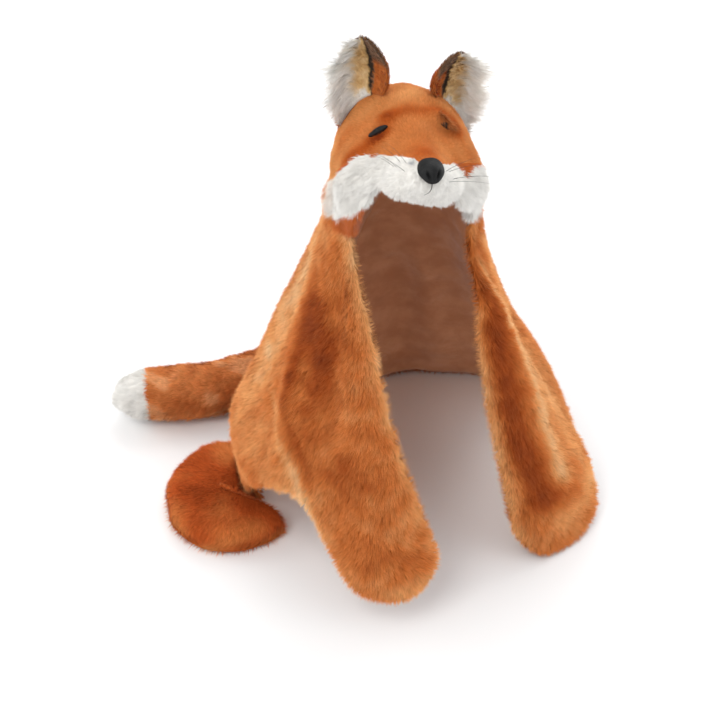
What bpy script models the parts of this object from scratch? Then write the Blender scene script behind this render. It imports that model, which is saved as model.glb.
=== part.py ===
"""Fox costume: a plush cape whose hood is a fox's head, in the shape it has on a seated wearer.

Run it with blender --background --python part.py, or from Blender's text editor.
Metres, +Z up. The origin is the inside of the hood's crown, where the wearer's head holds it up.
The fox's nose points along -Y and the wearer's left is +X. The floor lies CROWN_HEIGHT below.
"""

from collections import namedtuple

import bmesh
import bpy
import numpy as np

# Driving sizes, in metres and degrees
CROWN_HEIGHT = 0.590        # wearer's crown above the floor, sitting cross-legged
PLUSH = 0.009               # pile and knitted backing of the cape's cloth, which is one cut piece
EDGE_SHARE = 0.40           # of the thickness that is left at a free edge, where the pile rounds over
PAW_EXTRA = 0.006           # padding in the front paws
LINING = 0.0015
LINING_GAP = 0.0007         # between the cape's lining and its cloth
SEAM = 0.0003               # gap between sewn pieces
PADDING_GAP = 0.0020        # between the hood's lining and its padded pieces
HOOD_SEAM_ANGLE = 0.28      # half of the gap at the hood's padded seams, in degrees
SEAM_ANGLE = 0.13           # half of a seam's gap where it runs up and down, in degrees
NECK_DROP = 0.118           # hood and cape are sewn together this far below the crown
SIDE_SEAM = 92.0            # round the body from the front
BACK_POWER = 2.2            # how square the cape's rings are behind
BODY_TURN = 15.0            # body turned to the wearer's right of the head

SKULL_CENTRE = np.array((0.0, 0.0, -0.075))
SKULL_INSIDE = np.array((0.075, 0.095, 0.075))    # half width, depth and height of the hood's hollow
SKULL_OUTSIDE = np.array((0.087, 0.111, 0.105))   # the same over the padding and pile
NECK_ANGLE = 112.0          # of the neck seam from straight up, seen from SKULL_CENTRE
NECK_BLEND = 92.0           # from here down the hood runs over into the cape's ring

Section = namedtuple("Section", "drop right left front_right front_left back power turn")
Fold = namedtuple("Fold", "top_angle low_angle width top low height")
Relief = namedtuple("Relief", "across along half_across half_along height power")
Line = namedtuple("Line", "angle drop")
Station = namedtuple("Station", "side ahead height radius")
Ear = namedtuple("Ear", "base up faces height")

# The cape's rings: reach from the upright line through the crown, and turn of the body in degrees
CAPE_SECTIONS = (
    Section(0.100, 0.083, 0.083, 0.070, 0.070, 0.098, 2.0, 0.0),
    Section(0.150, 0.088, 0.088, 0.078, 0.072, 0.100, 2.1, 2.0),
    Section(0.200, 0.101, 0.098, 0.095, 0.086, 0.116, 2.3, 8.0),
    Section(0.250, 0.117, 0.113, 0.118, 0.104, 0.134, 2.5, 13.0),
    Section(0.320, 0.143, 0.141, 0.145, 0.126, 0.152, 2.6, BODY_TURN),
    Section(0.400, 0.177, 0.184, 0.176, 0.146, 0.168, 2.7, BODY_TURN),
    Section(0.470, 0.210, 0.214, 0.204, 0.166, 0.180, 2.7, BODY_TURN),
    Section(0.530, 0.202, 0.254, 0.232, 0.184, 0.192, 2.7, BODY_TURN),
    Section(0.590, 0.184, 0.282, 0.262, 0.204, 0.208, 2.7, BODY_TURN),
)

# Free front edge of each half, from the neck down to the paw: angle from the front at each drop
FRONT_EDGE = {
    "right": (Line(60, 0.118), Line(52, 0.162), Line(43, 0.205), Line(37, 0.251), Line(30, 0.322),
              Line(22, 0.388), Line(17, 0.440), Line(14.5, 0.480)),
    "left": (Line(60, 0.118), Line(52, 0.165), Line(41, 0.200), Line(29, 0.250), Line(23.5, 0.300),
             Line(22, 0.360), Line(22, 0.440), Line(21.5, 0.518)),
}
# Lower edge of each front piece: round the paw, up its outer side, along the belly to the side seam
FRONT_HEM = {
    "right": (Line(14.5, 0.480), Line(16.5, 0.508), Line(21.5, 0.529), Line(27, 0.536),
              Line(34, 0.532), Line(40, 0.516), Line(45, 0.487), Line(51, 0.461), Line(57, 0.443),
              Line(64, 0.437), Line(71, 0.445), Line(78.5, 0.461), Line(92, 0.500)),
    "left": (Line(21.5, 0.518), Line(24.5, 0.553), Line(31, 0.583), Line(38, 0.588), Line(45, 0.586),
             Line(52, 0.574), Line(57, 0.552), Line(61, 0.522), Line(65, 0.490), Line(70, 0.468),
             Line(78, 0.460), Line(92, 0.495)),
}
# Lower edge of each back piece
BACK_HEM = {
    "right": (Line(92, 0.500), Line(96, 0.520), Line(100, 0.550), Line(105, 0.580), Line(111, 0.588),
              Line(180, 0.588)),
    "left": (Line(92, 0.495), Line(96, 0.515), Line(100, 0.545), Line(105, 0.578), Line(111, 0.588),
             Line(180, 0.588)),
}
# Ridges and troughs of the worn cape: they run down from top to low, at angles round the body
CAPE_FOLDS = (
    Fold(-88, -66, 9, 0.28, 0.45, 0.014),
    Fold(-64, -55, 6, 0.16, 0.38, -0.008),
    Fold(-42, -30, 12, 0.26, 0.56, 0.010),
    Fold(43, 44, 10, 0.20, 0.54, 0.012),
    Fold(62, 64, 7, 0.24, 0.46, -0.008),
    Fold(31, 31, 5, 0.30, 0.50, -0.004),
    Fold(128, 120, 12, 0.24, 0.50, 0.008),
    Fold(158, 150, 9, 0.30, 0.62, 0.009),
    Fold(-128, -118, 12, 0.26, 0.50, 0.007),
    Fold(-160, -150, 9, 0.30, 0.62, 0.009),
    Fold(-141, -136, 6, 0.28, 0.56, -0.006),
    Fold(144, 138, 6, 0.28, 0.56, -0.006),
)

# Padding over the hood, in degrees from the crown: across to the wearer's left, along to the nape
HOOD_RELIEFS = (
    Relief(0, -57, 17, 13, 0.050, 2.4),       # muzzle
    Relief(20, -62, 13, 9, 0.012, 2.0),       # upper lips
    Relief(-20, -62, 13, 9, 0.012, 2.0),
    Relief(0, -36, 9, 13, 0.010, 2.0),        # bridge of the nose
    Relief(18, -14, 8, 5, 0.005, 2.0),        # brows
    Relief(-18, -14, 8, 5, 0.005, 2.0),
    Relief(24, -26, 8, 5, -0.006, 2.0),       # eye hollows
    Relief(-24, -26, 8, 5, -0.006, 2.0),
    Relief(66, -46, 24, 20, 0.012, 2.0),      # cheeks
    Relief(-66, -46, 24, 20, 0.012, 2.0),
)
# Seams of the hood on the same chart, for the wearer's left half
BRIDGE_EDGE = ((5, -50), (10, -40), (12, -28), (13, -14), (18, 6), (22, 32), (21, 62), (17, 90),
               (13, 111.24))
BRIDGE_TIP = (0, -56)
MUZZLE_TOP = ((5, -50), (14, -46.5), (24, -41.5), (34, -37))
CHEEK_TOP = ((34, -37), (52, -29), (74, -21), (92, -24), (106.5, -34.66))
LIP = ((34, -37), (35, -48), (31, -59))
MUZZLE_EDGE = ((0, -72), (10, -70.5), (20, -67), (31, -59))
FACE_EDGE = ((31, -59), (50, -65), (75, -63.5), (97.96, -54.3))
NECK_FRONT = 61.0           # azimuths of the cheek's ends at the neck seam
NECK_CHEEK = 72.0

NOSE_AT = (0.8, -54.4)
NOSE_HALF = (6.0, 5.0)
NOSE_RISE = 0.0125
EYES = {"right": (-23.2, -20.6), "left": (28.0, -20.0)}
EYE_HALF = (7.2, 1.5)
EYE_SLANT = 1.0
APPLIED = 0.0008            # pieces sewn on top stand this far off

EARS = {
    "right": Ear((-0.046, 0.028, 0.009), (0.02, -0.03, 1.0), (-0.44, -0.90, 0.0), 0.084),
    "left": Ear((0.061, 0.028, -0.003), (0.05, -0.10, 1.0), (0.44, -0.90, 0.0), 0.067),
}
EAR_BACK = 0.006
EAR_INNER = 0.004
EAR_WIDTHS = ((0, 0.025), (0.3, 0.030), (0.55, 0.029), (0.8, 0.020), (0.93, 0.011), (1, 0.005))
EAR_CUPS = ((0, 66), (0.4, 60), (0.8, 46), (1, 38))

# Tail and hind legs in the body's own directions: to the wearer's left, ahead, above the floor
TAIL = (
    Station(0.000, -0.210, 0.040, 0.030),
    Station(-0.010, -0.238, 0.040, 0.036),
    Station(-0.050, -0.252, 0.040, 0.0385),
    Station(-0.110, -0.246, 0.040, 0.0395),
    Station(-0.165, -0.246, 0.041, 0.040),
    Station(-0.215, -0.258, 0.042, 0.041),
    Station(-0.252, -0.272, 0.041, 0.039),
    Station(-0.284, -0.284, 0.037, 0.030),
    Station(-0.302, -0.291, 0.030, 0.010),
)
TIP_FROM = 0.76             # share of the tail's stations where the tip is sewn on
# Hind legs lie on the floor: the free outline, to the wearer's left and ahead, and the angles round
# the body between which they are sewn to the cape
HIND_LEG = {
    "right": ((-0.188, -0.004), (-0.174, 0.018), (-0.203, 0.031), (-0.245, 0.029), (-0.279, 0.011),
              (-0.301, -0.022), (-0.308, -0.062), (-0.298, -0.101), (-0.270, -0.133),
              (-0.235, -0.151), (-0.205, -0.156)),
    "left": ((0.208, -0.196), (0.226, -0.242), (0.226, -0.290), (0.209, -0.328), (0.175, -0.346),
             (0.140, -0.338), (0.112, -0.310), (0.094, -0.268)),
}
HIND_SEWN = {"right": (-128, -99), "left": (157, 136)}
HIND_OFF = {"right": 0.0010, "left": 0.0019}
LEG_RISES = ((0.5, 0.001), (0.99, 0.001), (1.0, 0.012), (0.985, 0.026), (0.92, 0.038), (0.72, 0.0455),
             (0.35, 0.0470))

COLOURS = {
    "front_right": (0.52, 0.14, 0.030), "front_left": (0.52, 0.14, 0.030),
    "back_right": (0.50, 0.135, 0.030), "back_left": (0.50, 0.135, 0.030),
    "hind_leg_right": (0.33, 0.058, 0.012), "hind_leg_left": (0.33, 0.058, 0.012),
    "tail": (0.51, 0.155, 0.045), "tail_tip": (0.78, 0.77, 0.72),
    "lining_right": (0.48, 0.20, 0.11), "lining_left": (0.48, 0.20, 0.11),
    "lining_hood": (0.48, 0.20, 0.11), "hood_bridge": (0.57, 0.17, 0.045),
    "hood_side_right": (0.57, 0.17, 0.045), "hood_side_left": (0.57, 0.17, 0.045),
    "cheek_right": (0.80, 0.79, 0.75), "cheek_left": (0.80, 0.79, 0.75),
    "muzzle_right": (0.80, 0.79, 0.75), "muzzle_left": (0.80, 0.79, 0.75),
    "nose": (0.026, 0.026, 0.030), "eye_right": (0.012, 0.011, 0.010),
    "eye_left": (0.012, 0.011, 0.010), "ear_back_right": (0.50, 0.15, 0.045),
    "ear_back_left": (0.50, 0.15, 0.045), "ear_inner_right": (0.70, 0.43, 0.18),
    "ear_inner_left": (0.70, 0.43, 0.18),
}


def smooth(x, xs, ys):
    """A curve through a table: a cubic between each two points, with slopes that never overshoot."""
    xs, ys = np.asarray(xs, float), np.asarray(ys, float)
    steps = np.diff(ys) / np.diff(xs)
    product = steps[1:] * steps[:-1]
    total = steps[1:] + steps[:-1]
    inner = np.where(product > 0, 2 * product / np.where(product > 0, total, 1), 0)
    slopes = np.concatenate(([steps[0]], inner, [steps[-1]]))
    i = np.clip(np.searchsorted(xs, x) - 1, 0, len(xs) - 2)
    span = xs[i + 1] - xs[i]
    t = np.clip((x - xs[i]) / span, 0.0, 1.0)
    rise = t * t * (3 - 2 * t)
    return (ys[i] * (1 - rise) + ys[i + 1] * rise
            + slopes[i] * span * t * (1 - t) ** 2 - slopes[i + 1] * span * t * t * (1 - t))


def ease(x, start, end):
    """0 before start, 1 after end, and a smooth step between them."""
    t = np.clip((x - start) / (end - start), 0.0, 1.0)
    return t * t * (3 - 2 * t)


def unit(v):
    """Vectors of length 1."""
    return v / np.linalg.norm(v, axis=-1, keepdims=True)


def table(rows, x):
    """A smooth curve through rows of (x, y)."""
    return smooth(x, [row[0] for row in rows], [row[1] for row in rows])


def along(points, share):
    """Points along a chain of points, at shares of its length, in smooth curves."""
    points = np.asarray(points, float)
    reach = np.concatenate(([0.0], np.cumsum(np.linalg.norm(np.diff(points, axis=0), axis=1))))
    return np.stack([smooth(share * reach[-1], reach, c) for c in points.T], -1)


def body_point(side, ahead, z):
    """A point given in the body's own directions."""
    turn = np.radians(BODY_TURN)
    x = side * np.cos(turn) + ahead * np.sin(turn)
    y = side * np.sin(turn) - ahead * np.cos(turn)
    return np.stack(np.broadcast_arrays(x, y, z), -1)


def ring_value(name, drop):
    """One column of the cape's table at a drop."""
    return smooth(drop, [s.drop for s in CAPE_SECTIONS], [getattr(s, name) for s in CAPE_SECTIONS])


def cape_point(angle, drop):
    """The cape's plain inner face. angle is in degrees round the body: 0 in front, positive on the
    wearer's left, 180 behind. Each ring is a rounded box: |side|**n + |ahead|**n = 1 in its reaches."""
    angle, drop = np.broadcast_arrays(np.asarray(angle, float), np.asarray(drop, float))
    side = np.sin(np.radians(angle))
    ahead = np.cos(np.radians(angle))
    width = np.where(angle < 0, ring_value("right", drop), ring_value("left", drop))
    front = np.where(angle < 0, ring_value("front_right", drop), ring_value("front_left", drop))
    depth = np.where(ahead > 0, front, ring_value("back", drop))
    power = np.where(ahead > 0, ring_value("power", drop), BACK_POWER)
    reach = (np.abs(side / width) ** power + np.abs(ahead / depth) ** power) ** (-1 / power)
    turn = np.radians(ring_value("turn", drop))
    lateral, forward = reach * side, reach * ahead
    x = lateral * np.cos(turn) + forward * np.sin(turn)
    y = lateral * np.sin(turn) - forward * np.cos(turn)
    return np.stack([x, y, -drop], -1)


def cape_face(angle, drop, lift):
    """A point of the worn cape, lift outside its inner face: the plain ring and then the folds, each
    exp(-((angle - its middle) / width)**2) high across, and easing in and out along its length."""
    angle, drop = np.broadcast_arrays(np.asarray(angle, float), np.asarray(drop, float))
    down = cape_point(angle, drop + 5e-4) - cape_point(angle, drop - 5e-4)
    round_ = cape_point(angle + 0.1, drop) - cape_point(angle - 0.1, drop)
    out = unit(np.cross(down, round_))
    rise = np.zeros_like(drop)
    for fold in CAPE_FOLDS:
        share = np.clip((drop - fold.top) / (fold.low - fold.top), 0, 1)
        middle = fold.top_angle + (fold.low_angle - fold.top_angle) * share
        fade = ease(drop, fold.top - 0.03, fold.top + 0.05) * (1 - ease(drop, fold.low - 0.05,
                                                                        fold.low + 0.03))
        rise += fold.height * fade * np.exp(-((angle - middle) / fold.width) ** 2)
    return cape_point(angle, drop) + out * (rise + lift)[..., None]


def to_chart(points):
    """Chart position in degrees of points seen from SKULL_CENTRE, and their distance from it."""
    rel = np.asarray(points) - SKULL_CENTRE
    r = np.linalg.norm(rel, axis=-1)
    polar = np.degrees(np.arccos(rel[..., 2] / r))
    azimuth = np.arctan2(rel[..., 0], -rel[..., 1])
    return np.stack([polar * np.sin(azimuth), -polar * np.cos(azimuth)], -1), r


def hood_point(chart, lift, outside=True):
    """A point of the hood, lift outside its outer or inner face, in the direction its chart gives:
    degrees across and along from straight up. Low down it runs over into the cape's top ring."""
    chart = np.asarray(chart, float)
    polar = np.hypot(chart[..., 0], chart[..., 1])
    azimuth = np.arctan2(chart[..., 0], -chart[..., 1])
    tilt = np.radians(polar)
    ray = np.stack([np.sin(tilt) * np.sin(azimuth), -np.sin(tilt) * np.cos(azimuth), np.cos(tilt)], -1)
    size = SKULL_OUTSIDE if outside else SKULL_INSIDE
    radius = 1 / np.linalg.norm(ray / size, axis=-1)
    if outside:
        for bump in HOOD_RELIEFS:
            away = np.hypot((chart[..., 0] - bump.across) / bump.half_across,
                            (chart[..., 1] - bump.along) / bump.half_along)
            radius = radius + bump.height * np.exp(-away ** bump.power)
        ring_lift = PLUSH + lift
    else:
        ring_lift = lift - LINING - LINING_GAP
    star = SKULL_CENTRE + ray * (radius + lift)[..., None]
    angle = np.clip(np.degrees(azimuth), -180, 180)
    ring = cape_face(angle, np.full_like(angle, NECK_DROP - SEAM / 2), ring_lift)
    low = ease(polar, NECK_BLEND, NECK_ANGLE)[..., None]
    return star * (1 - low) + ring * low


def grid_faces(rows, columns, first=0, wrap=False):
    """Four-sided faces of a grid of points, closed round its columns if wrap."""
    i = np.arange(rows - 1)[:, None] * columns
    j = np.arange(columns if wrap else columns - 1)[None, :]
    k = (j + 1) % columns
    quads = np.stack(np.broadcast_arrays(i + j, i + k, i + columns + k, i + columns + j), -1)
    return (quads.reshape(-1, 4) + first).tolist()


def add_object(name, points, faces):
    """One named closed solid with its own material."""
    mesh = bpy.data.meshes.new(name)
    mesh.from_pydata([tuple(p) for p in np.asarray(points, float).tolist()], [], faces)
    work = bmesh.new()
    work.from_mesh(mesh)
    bmesh.ops.recalc_face_normals(work, faces=work.faces)
    work.to_mesh(mesh)
    work.free()
    material = bpy.data.materials.new(name)
    material.use_nodes = True
    shader = material.node_tree.nodes["Principled BSDF"]
    shader.inputs["Base Color"].default_value = (*COLOURS[name], 1.0)
    shader.inputs["Roughness"].default_value = 0.9
    material.diffuse_color = (*COLOURS[name], 1.0)
    mesh.materials.append(material)
    thing = bpy.data.objects.new(name, mesh)
    bpy.data.collections["fox_costume"].objects.link(thing)
    return thing


def add_wall(name, inner, outer):
    """A closed solid between two equal grids of points, with a rim round all four sides."""
    rows, columns = inner.shape[:2]
    n = rows * columns
    faces = grid_faces(rows, columns) + grid_faces(rows, columns, n)
    index = np.arange(n).reshape(rows, columns)
    rim = np.concatenate([index[0], index[1:, -1], index[-1, -2::-1], index[-2:0:-1, 0]])
    following = np.roll(rim, -1)
    faces += np.stack([rim, following, following + n, rim + n], -1).tolist()
    return add_object(name, np.concatenate([inner.reshape(-1, 3), outer.reshape(-1, 3)]), faces)


def add_tube(name, rings):
    """A closed solid through rings of points, with a fan of triangles over each end."""
    count, around = rings.shape[:2]
    points = np.concatenate([rings.reshape(-1, 3), [rings[0].mean(0)], [rings[-1].mean(0)]])
    faces = grid_faces(count, around, wrap=True)
    for centre, first in ((count * around, 0), (count * around + 1, (count - 1) * around)):
        faces += [[centre, first + k, first + (k + 1) % around] for k in range(around)]
    return add_object(name, points, faces)


FRONT_ROWS = 19
FRONT_COLUMNS = 12
BACK_COLUMNS = 9


def front_grid(side):
    """Angle and drop over a front piece: down its columns, and back from its free edge."""
    v = (1 - (1 - np.linspace(0, 1, FRONT_ROWS)) ** 1.4)[:, None]
    u = (np.linspace(0, 1, FRONT_COLUMNS) ** 1.35)[None, :]
    hem_angle = FRONT_HEM[side][0].angle * (1 - u) + SIDE_SEAM * u
    top = NECK_DROP + SEAM / 2
    hem = table(FRONT_HEM[side], hem_angle)
    drop = top + v * (hem - top)
    edge_drop = top + v * (FRONT_EDGE[side][-1].drop - top)
    edge = table([(line.drop, line.angle) for line in FRONT_EDGE[side]], edge_drop)
    angle = edge * (1 - u) + (SIDE_SEAM - SEAM_ANGLE) * u
    return angle, drop


def back_grid(side):
    """Angle and drop over a back piece: down its columns, and round from the side seam."""
    v = (1 - (1 - np.linspace(0, 1, FRONT_ROWS)) ** 1.4)[:, None]
    u = np.linspace(0, 1, BACK_COLUMNS)[None, :]
    angle = (SIDE_SEAM + SEAM_ANGLE) * (1 - u) + (180 - SEAM_ANGLE) * u
    top = NECK_DROP + SEAM / 2
    drop = top + v * (table(BACK_HEM[side], angle) - top)
    return angle + 0 * drop, drop


def paw_extra(side, angle, drop):
    """Padding of the front paws over the cape's own thickness."""
    reach = 50 if side == "right" else 57
    return PAW_EXTRA * ease(drop, 0.43, 0.50) * (1 - ease(angle, reach - 8, reach + 4))


def add_cape(side):
    """The front and back piece of one half of the cape, and the lining behind both."""
    sign = -1 if side == "right" else 1
    front_angle, front_drop = front_grid(side)
    back_angle, back_drop = back_grid(side)
    share = np.ones(front_angle.shape)
    share[:, 0] = EDGE_SHARE
    share[-1, :] = EDGE_SHARE
    lift = PLUSH * share + paw_extra(side, front_angle, front_drop) * (share == 1)
    inner = cape_face(sign * front_angle, front_drop, np.zeros_like(lift))
    add_wall("front_" + side, inner, cape_face(sign * front_angle, front_drop, lift))
    share = np.ones(back_angle.shape)
    share[-1, :] = EDGE_SHARE
    inner = cape_face(sign * back_angle, back_drop, 0 * share)
    add_wall("back_" + side, inner, cape_face(sign * back_angle, back_drop, PLUSH * share))
    angle = np.concatenate([front_angle, back_angle[:, 1:]], 1)
    drop = np.concatenate([front_drop, back_drop[:, 1:]], 1)
    raised = drop.copy()
    raised[-1] -= 0.0015
    add_wall("lining_" + side, cape_face(sign * angle, raised, 0 * drop - LINING - LINING_GAP),
             cape_face(sign * angle, raised, 0 * drop - LINING_GAP))


def patch(low, high, start, end, shares=None):
    """Chart points of a four-sided piece from its edges: low and high run across, start and end run
    along. Each inner point is the two blends between facing edges less the blend of the corners."""
    shares = np.linspace(0, 1, len(start)) if shares is None else shares
    rows, columns = len(start), len(low)
    v = shares[:, None, None]
    u = np.linspace(0, 1, columns)[None, :, None]
    across = (1 - v) * low[None] + v * high[None]
    lengthwise = (1 - u) * start[:, None] + u * end[:, None]
    corners = ((1 - u) * (1 - v) * low[0] + u * (1 - v) * low[-1]
               + (1 - u) * v * high[0] + u * v * high[-1])
    return across + lengthwise - corners


def inset(chart, amount=HOOD_SEAM_ANGLE):
    """The same piece with every side drawn in, for the gap at its seams."""
    out = chart.copy()
    out[0] += amount * unit(chart[1] - chart[0])
    out[-1] += amount * unit(chart[-2] - chart[-1])
    out[:, 0] += amount * unit(chart[:, 1] - chart[:, 0])
    out[:, -1] += amount * unit(chart[:, -2] - chart[:, -1])
    return out


def askew(chart):
    """The chart of the head as worn, askew: the lower face sits lower on the wearer's left and a
    little higher on the right. Crown and neck stay."""
    across, lengthwise = chart[..., 0], chart[..., 1]
    shift = 7.0 * np.tanh(across / 22) + 3.0 * (1 - np.exp(-(across / 20) ** 2))
    fade = ease(-lengthwise, 10, 30) * (1 - ease(np.hypot(across, lengthwise), 70, 108))
    return np.stack([across, lengthwise - shift * fade], -1)


def add_hood_piece(name, chart, mirrored):
    """A padded piece between the hood's two faces over a patch of its chart."""
    chart = inset(chart)
    if mirrored:
        chart = chart * (-1, 1)
    chart = askew(chart)
    base = LINING + PADDING_GAP
    flat = np.zeros(chart.shape[:2])
    add_wall(name, hood_point(chart, flat + base, outside=False), hood_point(chart, flat))


HOOD_ROWS = 18
HOOD_COLUMNS = 9
CHEEK_COLUMNS = 6


def add_hood():
    """The head: a bridge from nose to nape, two sides, two cheeks and two halves of the muzzle."""
    rows = np.linspace(0, 1, HOOD_ROWS) ** 1.5
    columns = np.linspace(0, 1, HOOD_COLUMNS)
    bridge = along(BRIDGE_EDGE, rows)
    t = np.linspace(-1, 1, 7)[:, None]
    tip = np.concatenate([5 * t, -50 + (BRIDGE_TIP[1] + 50) * (1 - np.abs(t))], 1)
    nape = np.concatenate([bridge[-1, 0] * t, -NECK_ANGLE * np.cos(np.arcsin(
        bridge[-1, 0] * t / NECK_ANGLE)) * -1], 1)
    add_hood_piece("hood_bridge", patch(tip, nape, bridge * (-1, 1), bridge, rows), False)
    azimuth = np.radians(np.linspace(180 - np.degrees(np.arcsin(bridge[-1, 0] / NECK_ANGLE)),
                                     NECK_CHEEK, HOOD_COLUMNS))
    neck = NECK_ANGLE * np.stack([np.sin(azimuth), -np.cos(azimuth)], -1)
    muzzle_top = along(MUZZLE_TOP, columns)
    cheek_top = along(CHEEK_TOP, rows)
    side = patch(muzzle_top, neck, bridge, cheek_top, rows)
    lip = along(LIP, np.linspace(0, 1, CHEEK_COLUMNS))
    azimuth = np.radians(np.linspace(NECK_CHEEK, NECK_FRONT, CHEEK_COLUMNS))
    neck = NECK_ANGLE * np.stack([np.sin(azimuth), -np.cos(azimuth)], -1)
    cheek = patch(lip, neck, cheek_top, along(FACE_EDGE, rows), rows)
    middle = np.concatenate([[(5, -50)], np.linspace(BRIDGE_TIP, MUZZLE_EDGE[0], CHEEK_COLUMNS - 1)])
    muzzle = patch(muzzle_top, along(MUZZLE_EDGE, columns), middle, lip)
    for name, mirrored in (("right", True), ("left", False)):
        add_hood_piece("hood_side_" + name, side, mirrored)
        add_hood_piece("cheek_" + name, cheek, mirrored)
        add_hood_piece("muzzle_" + name, muzzle, mirrored)


def add_hood_lining():
    """One thin bowl inside the whole hood, open below and cut out round the face."""
    rows, columns = 10, 30
    azimuth = np.linspace(-180, 180, columns, endpoint=False)
    edge = np.concatenate([along(MUZZLE_EDGE, np.linspace(0, 1, 9)), along(FACE_EDGE,
                                                                          np.linspace(0, 1, 9))[1:]])
    reach = np.interp(np.abs(azimuth), np.degrees(np.arctan2(edge[:, 0], -edge[:, 1])),
                      np.hypot(edge[:, 0], edge[:, 1]))
    reach = np.where(np.abs(azimuth) >= NECK_FRONT, NECK_ANGLE, reach) - 0.6
    share = np.linspace(0.05, 1, rows)[:, None]
    polar = share * reach
    chart = askew(np.stack([polar * np.sin(np.radians(azimuth)),
                            -polar * np.cos(np.radians(azimuth))], -1))
    inner = hood_point(chart, np.zeros(polar.shape), outside=False)
    outer = hood_point(chart, np.full(polar.shape, LINING), outside=False)
    n = rows * columns
    faces = grid_faces(rows, columns, wrap=True) + grid_faces(rows, columns, n, wrap=True)
    for first, centre in ((0, 2 * n), (n, 2 * n + 1)):
        faces += [[centre, first + k, first + (k + 1) % columns] for k in range(columns)]
    low = (rows - 1) * columns
    faces += [[low + k, low + (k + 1) % columns, n + low + (k + 1) % columns, n + low + k]
              for k in range(columns)]
    top = hood_point(np.zeros((2, 2)), np.array((0.0, LINING)), outside=False)
    add_object("lining_hood", np.concatenate([inner.reshape(-1, 3), outer.reshape(-1, 3), top]), faces)


def add_applied(name, centre, outline, rises):
    """A low dome on the hood's outer face: rings of its outline, each (share, rise), rim to top."""
    around = outline.shape[0]
    chart = np.array([np.asarray(centre) + outline * share for share, rise in rises])
    lift = np.array([[rise] * around for share, rise in rises])
    add_tube(name, hood_point(chart, lift + APPLIED))


def add_face():
    """Nose and eyes."""
    turn = np.linspace(0, 2 * np.pi, 20, endpoint=False)
    across = np.sign(np.cos(turn)) * np.abs(np.cos(turn)) ** 0.8
    lengthwise = np.sign(np.sin(turn)) * np.abs(np.sin(turn)) ** 0.8
    narrow = 1 - 0.30 * ease(-lengthwise, 0.0, 1.0)
    outline = np.stack([NOSE_HALF[0] * across * narrow, NOSE_HALF[1] * lengthwise], -1)
    rises = ((0.5, 0.08), (1.0, 0.08), (1.03, 0.38), (0.94, 0.72), (0.7, 0.93), (0.35, 1.0))
    add_applied("nose", NOSE_AT, outline, [(share, rise * NOSE_RISE) for share, rise in rises])
    slant = np.radians(EYE_SLANT)
    for name, sign in (("right", -1), ("left", 1)):
        turn = np.linspace(0, 2 * np.pi, 16, endpoint=False)
        long, short = EYE_HALF[0] * np.cos(turn), EYE_HALF[1] * np.sin(turn)
        outline = np.stack([sign * (long * np.cos(slant) - short * np.sin(slant)),
                            long * np.sin(slant) + short * np.cos(slant)], -1)
        rises = ((0.4, 0.0006), (1.0, 0.0006), (1.0, 0.0024), (0.5, 0.0039))
        add_applied("eye_" + name, EYES[name], outline, rises)


def ear_point(ear, across, up, lift):
    """A point of an ear's cupped sheet. Each level is an arc as wide as EAR_WIDTHS says, which turns
    through EAR_CUPS degrees to each side and is hollow in front. The foot drops onto the hood."""
    rise = unit(np.array(ear.up))
    faces = np.array(ear.faces)
    faces = unit(faces - rise * np.dot(faces, rise))
    side = np.cross(rise, faces)
    half = table(EAR_WIDTHS, up)
    cup = np.radians(table(EAR_CUPS, up))
    radius = half / np.sin(cup)
    turn = across * cup

    def level(height):
        out = (np.sin(turn) * (radius + lift))[..., None] * side
        back = (np.cos(turn) * (radius + lift) - radius * np.cos(cup))[..., None] * faces
        return np.array(ear.base) + height[..., None] * rise + out - back

    foot = level(np.zeros_like(up))
    low, high = np.full(up.shape, -0.08), np.full(up.shape, 0.05)
    for _ in range(30):
        middle = (low + high) / 2
        chart, r = to_chart(foot + middle[..., None] * rise)
        surface = np.linalg.norm(hood_point(chart, np.zeros_like(r)) - SKULL_CENTRE, axis=-1)
        above = r > surface + 1.4 * APPLIED
        high = np.where(above, middle, high)
        low = np.where(above, low, middle)
    return level(up * ear.height) + (high * (1 - up) ** 2)[..., None] * rise


def add_ears():
    """Two ears, each an outer piece and an inner piece sewn back to back."""
    across, up = np.meshgrid(np.linspace(-1, 1, 9), np.linspace(0, 1, 10) ** 0.9)
    rim = np.minimum(ease(1 - np.abs(across), 0, 0.2), ease(1 - up, 0, 0.1))
    flat = np.zeros_like(up)
    back = EAR_BACK * (0.35 + 0.65 * rim)
    inner = -SEAM - EAR_INNER * (0.35 + 0.65 * rim)
    for name, ear in EARS.items():
        add_wall("ear_back_" + name, ear_point(ear, across, up, flat),
                 ear_point(ear, across, up, back))
        add_wall("ear_inner_" + name, ear_point(ear, across, up, flat - SEAM),
                 ear_point(ear, across, up, inner))


def limb_rings(stations, shares, around):
    """Round rings across a limb, drawn up where they would lie below the floor."""
    table_ = np.array([tuple(s) for s in stations], float)
    x = np.linspace(0, 1, len(stations))
    side, ahead, height, radius = (smooth(shares, x, column) for column in table_.T)
    middle = body_point(side, ahead, height - CROWN_HEIGHT)
    run = unit(np.gradient(middle, axis=0))
    up = np.array((0.0, 0.0, 1.0))
    rise = unit(up - (run @ up)[:, None] * run)
    out = np.cross(run, rise)
    turn = np.linspace(0, 2 * np.pi, around, endpoint=False)
    rings = (middle[:, None] + radius[:, None, None] * np.cos(turn)[None, :, None] * out[:, None]
             + radius[:, None, None] * np.sin(turn)[None, :, None] * rise[:, None])
    rings[..., 2] = np.maximum(rings[..., 2], 0.001 - CROWN_HEIGHT)
    return rings


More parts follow.
